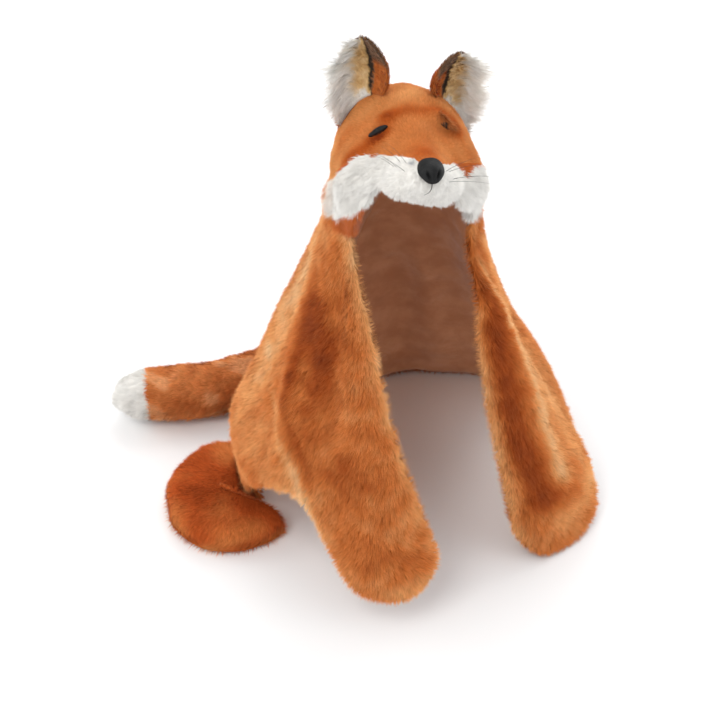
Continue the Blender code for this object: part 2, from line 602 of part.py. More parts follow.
def sew_on(rings):
    """The same limb with its root drawn along the limb until it lies just off the cape."""
    run = unit(rings[1].mean(0) - rings[0].mean(0))
    middle = rings[0].mean(0)
    root = np.stack([middle + (rings[0] - middle) * share for share in (0.1, 0.55, 1.0)])
    low, high = np.full(root.shape[:2], -0.05), np.full(root.shape[:2], 0.05)
    for _ in range(30):
        half = (low + high) / 2
        at = root + half[..., None] * run
        turned = np.degrees(np.arctan2(at[..., 0], -at[..., 1])) - BODY_TURN
        turned = (turned + 180) % 360 - 180
        wall = cape_face(turned, -at[..., 2], np.full(half.shape, PLUSH))
        outside = np.hypot(at[..., 0], at[..., 1]) > np.hypot(wall[..., 0], wall[..., 1]) + 2 * APPLIED
        high = np.where(outside, half, high)
        low = np.where(outside, low, half)
    root += high[..., None] * run
    return np.concatenate([root, rings[1:]])


def add_hind_leg(side):
    """A flat padded leg: rings of its outline, each (share, height above the floor), floor to top.
    Where it is sewn on, each ring follows the cape at its own height."""
    free = np.array([body_point(x, y, -CROWN_HEIGHT) for x, y in HIND_LEG[side]])[:, :2]
    angles = np.linspace(*HIND_SEWN[side], 5)
    rings = []
    for share, height in LEG_RISES:
        drop = np.full(5, min(CROWN_HEIGHT - height, 0.588))
        sewn = cape_face(angles, drop, np.full(5, PLUSH + HIND_OFF[side]))[:, :2]
        outline = along(np.concatenate([free, sewn, free[:1]]), np.linspace(0, 1, 33)[:-1])
        centre = outline.mean(0)
        spot = centre + (outline - centre) * share
        rings.append(np.column_stack([spot, np.full(len(spot), height - CROWN_HEIGHT)]))
    add_tube("hind_leg_" + side, np.array(rings))


def add_limbs():
    """Tail, its white tip, and the hind legs."""
    shares = np.concatenate([np.linspace(0, TIP_FROM, 20), np.linspace(TIP_FROM + 0.0012, 1, 9)])
    rings = limb_rings(TAIL, shares, 16)
    rings[20] = rings[19] + 2 * SEAM * unit((rings[21] - rings[18]).mean(0))
    add_tube("tail", sew_on(rings[:20]))
    add_tube("tail_tip", rings[20:])
    for side in ("right", "left"):
        add_hind_leg(side)


def main():
    """Build every piece into its own collection."""
    for thing in list(bpy.data.objects):
        bpy.data.objects.remove(thing, do_unlink=True)
    collection = bpy.data.collections.new("fox_costume")
    bpy.context.scene.collection.children.link(collection)
    for side in ("right", "left"):
        add_cape(side)
    add_hood()
    add_hood_lining()
    add_face()
    add_ears()
    add_limbs()


main()
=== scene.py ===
"""Fox costume: the dressed part.

A faux fur cape with a padded fox's head for a hood, paws and a tail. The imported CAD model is
loaded as a fixed frame. Its cloth and padded solids are replaced by thin shells on the same forms,
and the pile, whiskers, seams and stitches grow on those shells.
Metres, +Z up, origin inside the hood's crown, the fox's nose along -Y, the wearer's left along +X.
"""

from __future__ import annotations

import logging
from dataclasses import dataclass, field
from enum import Enum
from typing import Callable, Generic, Sequence, TypeVar, Union

import bmesh
import bpy
import numpy as np
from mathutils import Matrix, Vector

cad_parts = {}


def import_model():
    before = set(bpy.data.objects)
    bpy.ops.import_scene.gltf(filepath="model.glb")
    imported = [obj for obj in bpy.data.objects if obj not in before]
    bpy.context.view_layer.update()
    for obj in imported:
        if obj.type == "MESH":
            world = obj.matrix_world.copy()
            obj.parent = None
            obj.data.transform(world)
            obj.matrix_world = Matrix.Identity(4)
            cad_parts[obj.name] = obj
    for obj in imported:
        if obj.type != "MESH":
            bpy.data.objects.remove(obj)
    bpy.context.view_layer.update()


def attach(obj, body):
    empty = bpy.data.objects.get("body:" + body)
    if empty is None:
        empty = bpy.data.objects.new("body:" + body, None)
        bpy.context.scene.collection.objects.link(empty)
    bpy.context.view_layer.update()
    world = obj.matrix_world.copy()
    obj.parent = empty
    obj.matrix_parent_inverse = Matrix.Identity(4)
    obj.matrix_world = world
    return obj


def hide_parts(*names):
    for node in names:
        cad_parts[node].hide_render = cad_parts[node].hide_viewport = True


log = logging.getLogger("fox_costume")
Array = np.ndarray
Triple = tuple[float, float, float]
Colour = Triple
Number = Union[float, "Value"]
Table = tuple[tuple[float, ...], ...]
T = TypeVar("T")

# Height of the floor, in metres, and the body's turn from the head, in degrees
FLOOR = -0.590
BODY_TURN = 15.0


class Side(Enum):
    """A half of the costume, by the wearer's own right and left."""

    RIGHT = "right"
    LEFT = "left"

    @property
    def sign(self) -> int:
        """-1 on the wearer's right, where X is negative, and 1 on the left."""
        return -1 if self is Side.RIGHT else 1


@dataclass(frozen=True)
class Pair(Generic[T]):
    """A value for each half."""

    right: T
    left: T

    def __getitem__(self, side: Side | None) -> T:
        """The value on one side, and the left one for a piece on the middle line."""
        return self.right if side is Side.RIGHT else self.left


class Hold(Enum):
    DRAPED = "draped"
    HUNG = "hung"
    STRETCHED = "stretched"


# Surface maths


def unit(v: Array) -> Array:
    """Vectors scaled to length 1."""
    return v / np.maximum(np.linalg.norm(v, axis=-1, keepdims=True), 1e-12)


def ease(x: Array, start: float, end: float) -> Array:
    """A smooth step: t*t*(3 - 2t), where t runs from 0 at start to 1 at end."""
    t = np.clip((x - start) / (end - start), 0.0, 1.0)
    return t * t * (3 - 2 * t)


def smooth(x: Array, xs: Sequence[float], ys: Sequence[float]) -> Array:
    """A cubic through a table, whose slopes never overshoot.

    Each span is ya*(1-r) + yb*r with r = t*t*(3-2t), plus the end slopes times t*(1-t)**2 and
    t*t*(1-t). A slope is the harmonic mean of its two neighbours' steps, or 0 where they differ
    in sign.

    Args:
        x: Where the curve is read.
        xs: The table's rising positions.
        ys: The table's values.

    Returns:
        The values at x.
    """
    xs, ys = np.asarray(xs, float), np.asarray(ys, float)
    steps = np.diff(ys) / np.diff(xs)
    product, total = steps[1:] * steps[:-1], steps[1:] + steps[:-1]
    inner = np.where(product > 0, 2 * product / np.where(product > 0, total, 1), 0)
    slopes = np.concatenate(([steps[0]], inner, [steps[-1]]))
    i = np.clip(np.searchsorted(xs, x) - 1, 0, len(xs) - 2)
    span = xs[i + 1] - xs[i]
    t = np.clip((x - xs[i]) / span, 0.0, 1.0)
    r = t * t * (3 - 2 * t)
    return (ys[i] * (1 - r) + ys[i + 1] * r
            + slopes[i] * span * t * (1 - t) ** 2 - slopes[i + 1] * span * t * t * (1 - t))


def along(chain: Sequence[Sequence[float]], share: Array) -> Array:
    """Points at shares of a chain's length, each coordinate a smooth curve of the distance run."""
    points = np.asarray(chain, float)
    run = np.concatenate(([0.0], np.cumsum(np.linalg.norm(np.diff(points, axis=0), axis=1))))
    return np.stack([smooth(share * run[-1], run, c) for c in points.T], -1)


def ripple(points: Array, size: float, seed: int, waves: int = 12) -> Array:
    """A smooth uneven field from about -1 to 1 over points.

    It is the sum of sines of the distance along seeded directions, each wave about size long,
    divided by the square root of half their number.
    """
    rng = np.random.default_rng(seed)
    ways = unit(rng.normal(size=(waves, 3))) * (2 * np.pi / size)
    ways = ways * rng.uniform(0.6, 1.5, (waves, 1))
    phases = rng.uniform(0, 2 * np.pi, waves)
    return np.clip(np.sin(points @ ways.T + phases).sum(-1) / np.sqrt(waves / 2) / 1.6, -1, 1)


def swung(way: Array, out: Array, degrees: Array) -> Array:
    """Directions turned about normals: way * cos + (out x way) * sin."""
    turn = np.radians(degrees)[..., None]
    return way * np.cos(turn) + np.cross(out, way) * np.sin(turn)


def circles(around: int, one: Array, two: Array) -> Array:
    """Unit circles, one * cos + two * sin, a row of points for each pair of directions."""
    turn = np.linspace(0, 2 * np.pi, around, endpoint=False)[None, :, None]
    return np.cos(turn) * one[:, None] + np.sin(turn) * two[:, None]


def tufts(points: Array, size: float, seed: int) -> tuple[Array, Array]:
    """The nearest seeded centre to each point, for pile that gathers into tufts.

    Space is cut into cubes of side size, each with one centre placed in it by a hash of its
    indices, and each point takes the nearest of its 27 neighbouring centres.

    Args:
        points: Roots, one row each.
        size: Side of a cube, about a tuft's width.
        seed: Changes the pattern.

    Returns:
        The vector from each point to its centre, and a number from 0 to 1 for the tuft.
    """
    cell = np.floor(points / size).astype(np.int64)
    best = np.full(len(points), np.inf)
    to_centre, name = np.zeros_like(points), np.zeros(len(points))
    for shift in np.stack(np.meshgrid(*[[-1, 0, 1]] * 3), -1).reshape(-1, 3):
        c = cell + shift
        key = (c * np.array((73856093, 19349663, 83492791))).sum(-1) + seed * 9781
        spots = []
        for k in (1, 2, 3, 4):
            mixed = (key * (2654435761 + 2 * k) + k * 40503) & 0xFFFFFFFF
            mixed = ((mixed ^ (mixed >> 15)) * 2246822519) & 0xFFFFFFFF
            spots.append(((mixed ^ (mixed >> 13)) & 0xFFFF) / 65536.0)
        way = (c + np.stack(spots[:3], -1)) * size - points
        away = np.einsum("ij,ij->i", way, way)
        near = away < best
        best = np.where(near, away, best)
        to_centre[near] = way[near]
        name[near] = spots[3][near]
    return to_centre, name


def first_outside(outside: Callable[[Array], Array], shape: tuple[int, ...], low: float,
                  high: float) -> Array:
    """The least distance at which each place of a grid is outside, by halving a span 24 times.

    Args:
        outside: Says for a grid of distances which places are outside.
        shape: The grid's shape.
        low: A distance at which all places are inside.
        high: One at which all are outside.

    Returns:
        The distances.
    """
    below, above = np.full(shape, low), np.full(shape, high)
    for _ in range(24):
        middle = (below + above) / 2
        out = outside(middle)
        above, below = np.where(out, middle, above), np.where(out, below, middle)
    return above


def normals(grid: Array, centre: Array) -> Array:
    """Unit normals of a grid of points: the cross product of its two slopes, pointing away from
    centre on the whole."""
    out = unit(np.cross(np.gradient(grid, axis=0), np.gradient(grid, axis=1)))
    return out if (out * (grid - centre)).sum() > 0 else -out


def quads(rows: int, columns: int, first: int = 0, wrap: bool = False) -> Array:
    """Four-sided faces of a grid of points, closed round its columns if wrap."""
    i = np.arange(rows - 1)[:, None] * columns
    j = np.arange(columns if wrap else columns - 1)[None, :]
    k = (j + 1) % columns
    return np.stack(np.broadcast_arrays(i + j, i + k, i + columns + k, i + columns + j),
                    -1).reshape(-1, 4) + first


def capped(rings: Array, middles: Array | None = None) -> tuple[Array, list[list[int]]]:
    """A closed surface from rings, whose first and last close on a middle each.

    Args:
        rings: Points, ring by ring, each once round.
        middles: The two middles, where they aren't the means of their rings.

    Returns:
        The points with the two middles at the end, and the faces.
    """
    count, around = rings.shape[:2]
    middles = rings[[0, -1]].mean(1) if middles is None else middles
    points = np.concatenate([rings.reshape(-1, 3), middles])
    faces = quads(count, around, 0, True).tolist()
    for middle, first in ((count * around, 0), (count * around + 1, (count - 1) * around)):
        faces += [[middle, first + k, first + (k + 1) % around] for k in range(around)]
    return points, faces


# Shader maths


class Value:
    """A shader socket that takes part in Python arithmetic, each step adding a Math node."""

    def __init__(self, book: "NodeBook", socket: bpy.types.NodeSocket) -> None:
        """Wrap one output socket of a book of nodes."""
        self.book, self.socket = book, socket

    def _math(self, operation: str, a: Number, b: Number = 0.0) -> "Value":
        """One Math node on two numbers or sockets."""
        return self.book.node("ShaderNodeMath", {"operation": operation}, {0: a, 1: b})

    def __add__(self, other: Number) -> "Value":
        """self + other."""
        return self._math("ADD", self, other)

    def __sub__(self, other: Number) -> "Value":
        """self - other."""
        return self._math("SUBTRACT", self, other)

    def __mul__(self, other: Number) -> "Value":
        """self * other."""
        return self._math("MULTIPLY", self, other)

    def __pow__(self, other: Number) -> "Value":
        """self ** other."""
        return self._math("POWER", self, other)

    def __rsub__(self, other: Number) -> "Value":
        """other - self."""
        return self._math("SUBTRACT", other, self)

    __radd__ = __add__
    __rmul__ = __mul__

    def ramp(self, low: float, high: float, start: float = 0.0, end: float = 1.0) -> "Value":
        """start below low, end above high, and a smooth step between them."""
        return self.book.node("ShaderNodeMapRange", {"interpolation_type": "SMOOTHSTEP"},
                              {"Value": self, "From Min": low, "From Max": high,
                               "To Min": start, "To Max": end})


class NodeBook:
    """A material's node tree, written node by node round one Principled shader."""

    def __init__(self, name: str) -> None:
        """Start a material with only its Principled shader and output."""
        self.material = bpy.data.materials.new(name)
        self.material.use_nodes = True
        self.tree = self.material.node_tree
        self.shader = self.tree.nodes["Principled BSDF"]

    def node(self, kind: str, settings: dict | None = None, sockets: dict | None = None,
             output: int | str = 0) -> Value:
        """Add a node.

        Args:
            kind: The node's type.
            settings: Its properties, set first; "stops" are a ramp's (position, colour) pairs.
            sockets: Input names or numbers, with a Value to link or a constant to set.
            output: Which output is given back.

        Returns:
            The output as a Value.
        """
        made = self.tree.nodes.new(kind)
        for key, value in (settings or {}).items():
            if key == "stops":
                ramp = made.color_ramp
                ramp.elements[0].position, ramp.elements[-1].position = value[0][0], value[-1][0]
                for place, _ in value[1:-1]:
                    ramp.elements.new(place)
                for element, (_, colour) in zip(ramp.elements, value):
                    element.color = (*colour, 1.0)
            else:
                setattr(made, key, value)
        for key, value in (sockets or {}).items():
            self.feed(made.inputs[key], value)
        return Value(self, made.outputs[output])

    def feed(self, socket: bpy.types.NodeSocket, value: object) -> None:
        """Link a Value to a socket, or set a constant on it."""
        if isinstance(value, Value):
            self.tree.links.new(value.socket, socket)
        elif isinstance(value, tuple) and len(value) == 3 and socket.type == "RGBA":
            socket.default_value = (*value, 1.0)
        else:
            socket.default_value = value

    def mix(self, factor: Number, a: object, b: object, blend: str = "MIX") -> Value:
        """A colour mix of a and b."""
        return self.node("ShaderNodeMix", {"data_type": "RGBA", "blend_type": blend},
                         {0: factor, 6: a, 7: b}, 2)

    def noise(self, where: Value, scale: float, detail: float = 2.0, rough: float = 0.5) -> Value:
        """Noise from 0 to 1 at a place."""
        return self.node("ShaderNodeTexNoise", {}, {"Vector": where, "Scale": scale,
                                                    "Detail": detail, "Roughness": rough})

    def bands(self, where: Value, way: str, scale: float, bend: float, fine: float = 1.0) -> Value:
        """Uneven bands across a direction, from 0 to 1."""
        return self.node("ShaderNodeTexWave", {"wave_type": "BANDS", "bands_direction": way},
                         {"Vector": where, "Scale": scale, "Distortion": bend, "Detail": 2.0,
                          "Detail Scale": fine}, "Fac")

    def bump(self, height: Value, strength: float, distance: float) -> Value:
        """A normal from a height of 0 to 1, which stands for distance metres."""
        return self.node("ShaderNodeBump", {}, {"Strength": strength, "Distance": distance,
                                                "Height": height})

    def place(self, stretch: Triple = (1.0, 1.0, 1.0)) -> Value:
        """Object coordinates, stretched along the axes."""
        at = self.node("ShaderNodeTexCoord", output="Object")
        return at if stretch == (1.0, 1.0, 1.0) else self.node(
            "ShaderNodeVectorMath", {"operation": "MULTIPLY"}, {0: at, 1: stretch})

    def finish(self, sockets: dict) -> bpy.types.Material:
        """Feed the Principled shader's inputs and give the material back."""
        for key, value in sockets.items():
            self.feed(self.shader.inputs[key], value)
        return self.material


# Finishes


@dataclass(frozen=True)
class FurFinish:
    """Acrylic pile: dye colour by region, which on some pieces holds painted light and shade too;
    painted shade to the root, a painted highlight and less roughness to the tip.
    """

    stops: tuple[tuple[float, Colour], ...]
    tip: Colour
    tip_share: float = 0.40
    root_shade: float = 0.50
    spread: float = 0.34
    sheen: float = 0.60

    def material(self, name: str, backing: bool = False) -> bpy.types.Material:
        """Nodes that read the pile's own attribute: share of the length, hair, region and tuft.

        Args:
            name: The material's name.
            backing: True for the shell under the pile, which has a bump of close-set roots.

        Returns:
            The material.
        """
        book = NodeBook(name)
        pile = book.node("ShaderNodeAttribute", {"attribute_name": "pile"}, output="Color")
        tuft = book.node("ShaderNodeAttribute", {"attribute_name": "pile"}, output="Alpha")
        parts = book.node("ShaderNodeSeparateColor", {}, {"Color": pile})
        share, hair, region = (Value(book, parts.socket.node.outputs[i]) for i in range(3))
        dyed = book.node("ShaderNodeValToRGB", {"stops": self.stops}, {"Fac": region})
        # Painted shade: the colour darkens towards the root.
        shade = (share ** 0.6) * (1 - self.root_shade) + self.root_shade
        streaks = book.noise(book.place((1.0, 1.0, 0.25)), 90.0, 3.0)
        level = shade * (hair * self.spread + tuft * 0.14 + streaks * 0.24
                         + (1 - self.spread / 2 - 0.19))
        grey = book.node("ShaderNodeCombineColor", {}, {0: level, 1: level, 2: level})
        shaded = book.mix(1.0, dyed, grey, "MULTIPLY")
        # Painted highlight: the tips mix towards the tip colour, most in the lighter regions.
        bright = region.ramp(0.25, 0.85, 0.25, 1.0)
        lit = book.mix((share ** 2.2) * self.tip_share * (hair * 0.5 + 0.75) * bright,
                       shaded, self.tip)
        sockets = {"Base Color": lit, "Roughness": 0.78 - share * 0.12 + streaks * 0.08,
                   "Sheen Weight": self.sheen, "Sheen Roughness": 0.30, "Sheen Tint": self.tip,
                   "Specular IOR Level": 0.08}
        if backing:
            roots = book.noise(book.place((1.0, 1.0, 0.4)), 900.0, 3.0)
            sockets["Normal"] = book.bump(roots, 0.7, 0.0012)
        return book.finish(sockets)


@dataclass(frozen=True)
class LiningFinish:
    """Brushed warp-knit lining: fine ribs that follow the cloth, a soft bloom and crease marks."""

    colour: Colour = (0.60, 0.285, 0.150)
    # shade is the darker dye of the uneven patches and also the painted shade between the ribs.
    shade: Colour = (0.47, 0.200, 0.095)
    rib: float = 0.0011

    def material(self, name: str) -> bpy.types.Material:
        """Ribs and courses on the cloth's own metres, painted shade between the ribs, uneven dye
        and a nap that catches light.
        """
        book = NodeBook(name)
        cloth = book.node("ShaderNodeUVMap", {"uv_map": "cloth"})
        ribs = book.bands(cloth, "X", 0.05 * 2 * np.pi / self.rib, 0.6, 3.0)
        courses = book.bands(cloth, "Y", 0.05 * 2 * np.pi / (self.rib * 1.4), 1.0)
        bloom = book.noise(book.place(), 26.0, 4.0, 0.6)
        fuzz = book.noise(book.place(), 700.0, 2.0)
        worn = bloom.ramp(0.35, 0.68)
        height = ribs * 0.5 + courses * 0.3 + fuzz * 0.6
        base = book.mix(worn, self.shade, self.colour)
        # Painted shade in the grooves between the ribs, with random fuzz.
        base = book.mix((1 - ribs) * 0.25 + fuzz * 0.12, base, self.shade)
        return book.finish({
            "Base Color": base, "Roughness": 0.82 - worn * 0.12,
            "Sheen Weight": 0.3, "Sheen Roughness": 0.35, "Specular IOR Level": 0.2,
            "Normal": book.bump(height, 0.5, 0.0005)})


@dataclass(frozen=True)
class NoseFinish:
    """Short-napped synthetic leather, dark slate, a little polished in rubbed places."""

    colour: Colour = (0.004, 0.0042, 0.0045)
    worn: Colour = (0.012, 0.0125, 0.013)

    def material(self, name: str) -> bpy.types.Material:
        """Pebbled grain from cells and noise, with rub marks in colour and roughness."""
        book = NodeBook(name)
        where = book.place()
        grain = book.node("ShaderNodeTexVoronoi", {"feature": "SMOOTH_F1"},
                          {"Vector": where, "Scale": 850.0, "Smoothness": 0.6}, "Distance")
        rub = book.noise(where, 70.0, 4.0, 0.6).ramp(0.4, 0.7)
        fine = book.noise(where, 1600.0, 2.0)
        return book.finish({
            "Base Color": book.mix(rub * 0.8 + grain * 0.2, self.colour, self.worn),
            "Roughness": 0.66 - rub * 0.16, "Specular IOR Level": 0.20,
            "Normal": book.bump(fine * 0.5 - grain, 0.45, 0.0004)})


@dataclass(frozen=True)
class ThreadFinish:
    """Spun or drawn thread, with a twist along it."""

    colour: Colour
    pale: Colour
    roughness: float = 0.5
    twist: float = 900.0

    def material(self, name: str) -> bpy.types.Material:
        """Twisted plies as diagonal bands, with a painted highlight on their crests and paler worn
        fibres in places.
        """
        book = NodeBook(name)
        plies = book.bands(book.place(), "DIAGONAL", self.twist, 1.5)
        worn = book.noise(book.place(), 240.0, 3.0)
        return book.finish({
            # Painted highlight on the ply crests, and random wear.
            "Base Color": book.mix(plies * 0.5 + worn * 0.3, self.colour, self.pale),
            "Roughness": worn * 0.2 + (self.roughness - 0.1), "Specular IOR Level": 0.35,
            "Normal": book.bump(plies, 0.4, 0.0002)})


@dataclass(frozen=True)
class FloorFinish:
    """A painted studio floor, nearly white."""

    colour: Colour = (0.90, 0.90, 0.905)

    def material(self, name: str) -> bpy.types.Material:
        """Faint rolled-paint unevenness in colour and roughness."""
        book = NodeBook(name)
        paint = book.noise(book.place(), 3.0, 3.0)
        pale = tuple(c * 0.985 for c in self.colour)
        return book.finish({"Base Color": book.mix(paint, self.colour, pale),
                            "Roughness": paint * 0.1 + 0.75, "Specular IOR Level": 0.2})


# ORANGE and HEAD_ORANGE run from painted shade at their low stops to painted highlight at their
# high ones, as the regions carry them; WHITE's greyish low stops are painted shade. The white and
# orange top stops of HEAD_ORANGE and WHITE are the dyed border of the white.
ORANGE = FurFinish(
    ((0.0, (0.26, 0.030, 0.002)), (0.25, (0.46, 0.078, 0.008)), (0.5, (0.72, 0.192, 0.037)),
     (0.75, (0.90, 0.385, 0.125)), (1.0, (1.0, 0.64, 0.33))), tip=(0.98, 0.55, 0.25))
HEAD_ORANGE = FurFinish(
    ((0.0, (0.26, 0.032, 0.003)), (0.25, (0.50, 0.095, 0.011)), (0.5, (0.64, 0.200, 0.050)),
     (0.75, (0.78, 0.330, 0.105)), (0.92, (0.88, 0.46, 0.19)), (0.96, (0.90, 0.88, 0.845)),
     (1.0, (0.92, 0.91, 0.88))), tip=(0.90, 0.50, 0.23),
    root_shade=0.66, spread=0.24, tip_share=0.24)
RUST = FurFinish(
    ((0.0, (0.30, 0.036, 0.004)), (0.4, (0.62, 0.108, 0.018)), (0.7, (0.80, 0.25, 0.060)),
     (1.0, (0.95, 0.48, 0.21))), tip=(0.90, 0.42, 0.17), tip_share=0.28, root_shade=0.62)
TAIL_ORANGE = FurFinish(
    ((0.0, (0.52, 0.108, 0.018)), (0.5, (0.80, 0.270, 0.078)), (1.0, (0.95, 0.47, 0.21))),
    tip=(1.0, 0.56, 0.28), tip_share=0.28, root_shade=0.62)
WHITE = FurFinish(
    ((0.0, (0.20, 0.22, 0.26)), (0.3, (0.76, 0.74, 0.70)), (0.5, (0.89, 0.87, 0.83)),
     (0.92, (0.92, 0.91, 0.88)), (0.96, (0.66, 0.170, 0.030)), (1.0, (0.56, 0.125, 0.020))),
    tip=(0.98, 0.975, 0.96), tip_share=0.04, root_shade=0.86, spread=0.08, sheen=0.2)
INNER_EAR = FurFinish(
    ((0.0, (0.64, 0.180, 0.038)), (0.05, (0.60, 0.170, 0.036)), (0.12, (0.27, 0.150, 0.090)),
     (0.17, (0.040, 0.025, 0.016)), (0.24, (0.070, 0.045, 0.026)), (0.33, (0.68, 0.42, 0.16)),
     (0.55, (0.86, 0.62, 0.32)), (0.75, (0.95, 0.91, 0.83)), (1.0, (0.98, 0.975, 0.96))),
    tip=(0.95, 0.90, 0.80), tip_share=0.12, root_shade=0.75, spread=0.16, sheen=0.2)
EAR_BACK = FurFinish(
    ((0.0, (0.16, 0.095, 0.060)), (0.35, (0.28, 0.15, 0.090)), (0.6, (0.60, 0.150, 0.030)),
     (1.0, (0.80, 0.28, 0.070))), tip=(0.84, 0.36, 0.12), tip_share=0.3, root_shade=0.60)


# Pile


@dataclass(frozen=True)
class Coat:
    """How a pile is cut and combed: sizes in metres, angles in degrees, hairs a square metre."""

    density: float = 1150000.0
    width: float = 0.00080
    tuft: float = 0.0065
    pull: float = 0.34
    uneven: float = 0.40
    stray: float = 11.0


@dataclass
class Nap:
    """A combed surface as fields over one grid of points.

    Attributes:
        points: Places on the backing, rows by columns by 3.
        out: Unit normals.
        flow: Unit directions in which the pile is combed.
        length: Length of the pile.
        rise: Angle of the pile off the backing, in degrees.
        region: Place on the finish's ramp of colours, 0 to 1.
        share: Share of the full density, 0 to 1.

    The last four may be given as one number for the whole grid.
    """

    points: Array
    out: Array
    flow: Array
    length: Array | float
    rise: Array | float
    region: Array | float
    share: Array | float = 1.0

    def __post_init__(self) -> None:
        """Spread single numbers over the grid."""
        for name in ("length", "rise", "region", "share"):
            setattr(self, name, np.broadcast_to(getattr(self, name), self.points.shape[:2]))

    def area(self) -> Array:
        """Area of each cell, half the cross product of its diagonals, times its share."""
        p = self.points
        twice = np.cross(p[1:, 1:] - p[:-1, :-1], p[1:, :-1] - p[:-1, 1:])
        share = (self.share[1:, 1:] + self.share[:-1, :-1]) / 2
        return np.linalg.norm(twice, axis=-1) / 2 * share

    def sample(self, count: int, rng: np.random.Generator) -> list[Array]:
        """Every field at count places, spread evenly by area and blended inside each cell.

        Returns:
            Points, normals, flow, length, rise and region, one row for each hair.
        """
        total = np.cumsum(self.area().ravel())
        place = (np.arange(count) + rng.random(count)) / count * total[-1]
        cell = np.minimum(np.searchsorted(total, place), len(total) - 1)
        i, j = np.divmod(cell, self.points.shape[1] - 1)
        u, v = rng.random(count), rng.random(count)
        picked = []
        for f in (self.points, self.out, self.flow, self.length, self.rise, self.region):
            a, b = (u[:, None], v[:, None]) if f.ndim == 3 else (u, v)
            picked.append((f[i, j] * (1 - a) + f[i, j + 1] * a) * (1 - b)
                          + (f[i + 1, j] * (1 - a) + f[i + 1, j + 1] * a) * b)
        return picked


class Pile:
    """Grows hairs on combed surfaces and makes one mesh of them."""

    def __init__(self, coat: Coat, seed: int) -> None:
        """Keep the cut of the pile, and start its own seeded numbers."""
        self.coat, self.seed = coat, seed
        self.rng = np.random.default_rng(seed)
        self.hairs: list[Array] = []
        self.softs: list[Array] = []
        self.marks: list[Array] = []

    def grow(self, nap: Nap, density: float = 1.0) -> None:
        """Add the hairs of one surface.

        A hair is a thin triangle: two corners at the root and the tip, which is drawn towards the
        middle of its tuft. It is shaded as a soft surface, with a normal between the backing's,
        its own and the tuft's round one.

        Args:
            nap: The combed surface.
            density: Times the coat's own.
        """
        coat, rng = self.coat, self.rng
        count = int(nap.area().sum() * coat.density * density)
        if count < 4:
            return
        root, out, flow, length, rise, region = nap.sample(count, rng)
        out = unit(out)
        flow = unit(flow - out * (flow * out).sum(-1, keepdims=True))
        near, tuft = tufts(root, coat.tuft, self.seed)
        _, lock = tufts(root, coat.tuft * 2.7, self.seed + 5)
        near -= out * (near * out).sum(-1, keepdims=True)
        length = length * (1 - coat.uneven * rng.random(count)) * (0.84 + 0.18 * lock + 0.12 * tuft)
        swing = rng.normal(0, coat.stray, count) + 24 * (lock - 0.5) + 16 * (tuft - 0.5)
        lean = np.clip(rise + rng.normal(0, 7, count) + 12 * (tuft - 0.5), 4, 88)
        lean = np.radians(lean)[:, None]
        way = swung(flow, out, swing) * np.cos(lean) + out * np.sin(lean)
        tip = root + way * length[:, None] + near * coat.pull
        axis = unit(tip - root)
        flat = unit(np.cross(axis, out))
        roll = np.radians(rng.normal(0, 25, count))[:, None]
        across = flat * np.cos(roll) + np.cross(axis, flat) * np.sin(roll)
        half = (coat.width / 2 * rng.uniform(0.7, 1.3, count))[:, None] * across
        sunk = root - out * 0.0006
        hairs = np.stack([sunk - half, sunk + half, tip], 1)
        hairs[..., 2] = np.maximum(hairs[..., 2], FLOOR + 0.0006)
        soft = unit(out * 0.75 + unit(np.cross(across, axis)) * 0.25 - near / coat.tuft * 0.22)
        self.hairs.append(hairs)
        self.softs.append(np.repeat(soft[:, None], 3, 1))
        hair = rng.random(count)[:, None]
        self.marks.append(np.stack(np.broadcast_arrays(
            np.array((0.0, 0.0, 1.0)), hair, region[:, None], tuft[:, None]), -1))

    def build(self, name: str, finish: FurFinish) -> bpy.types.Object:
        """One mesh of all the hairs, each with its own cell of the UV map OFBake."""
        hairs = np.concatenate(self.hairs)
        count = len(hairs)
        thing = mesh_object(name, hairs.reshape(-1, 3), np.arange(count * 3).reshape(-1, 3),
                            finish.material(name), outward=False)
        paint(thing, np.concatenate(self.marks).reshape(-1, 4))
        thing.data.normals_split_custom_set_from_vertices(np.concatenate(self.softs).reshape(-1, 3))
        side = int(np.ceil(np.sqrt(count)))
        cell = np.stack([np.arange(count) % side, np.arange(count) // side], -1)
        spot = np.array(((0.1, 0.1), (0.9, 0.1), (0.5, 0.9)))
        uv = thing.data.uv_layers.new(name="OFBake")
        uv.data.foreach_set("uv", ((cell[:, None] + spot) / side).ravel())
        log.info("%s: %d hairs", name, count)
        return thing


# Meshes


def linked(name: str, data: bpy.types.ID) -> bpy.types.Object:
    """A new object of a mesh, light or camera, in the scene."""
    thing = bpy.data.objects.new(name, data)
    bpy.context.scene.collection.objects.link(thing)
    return thing


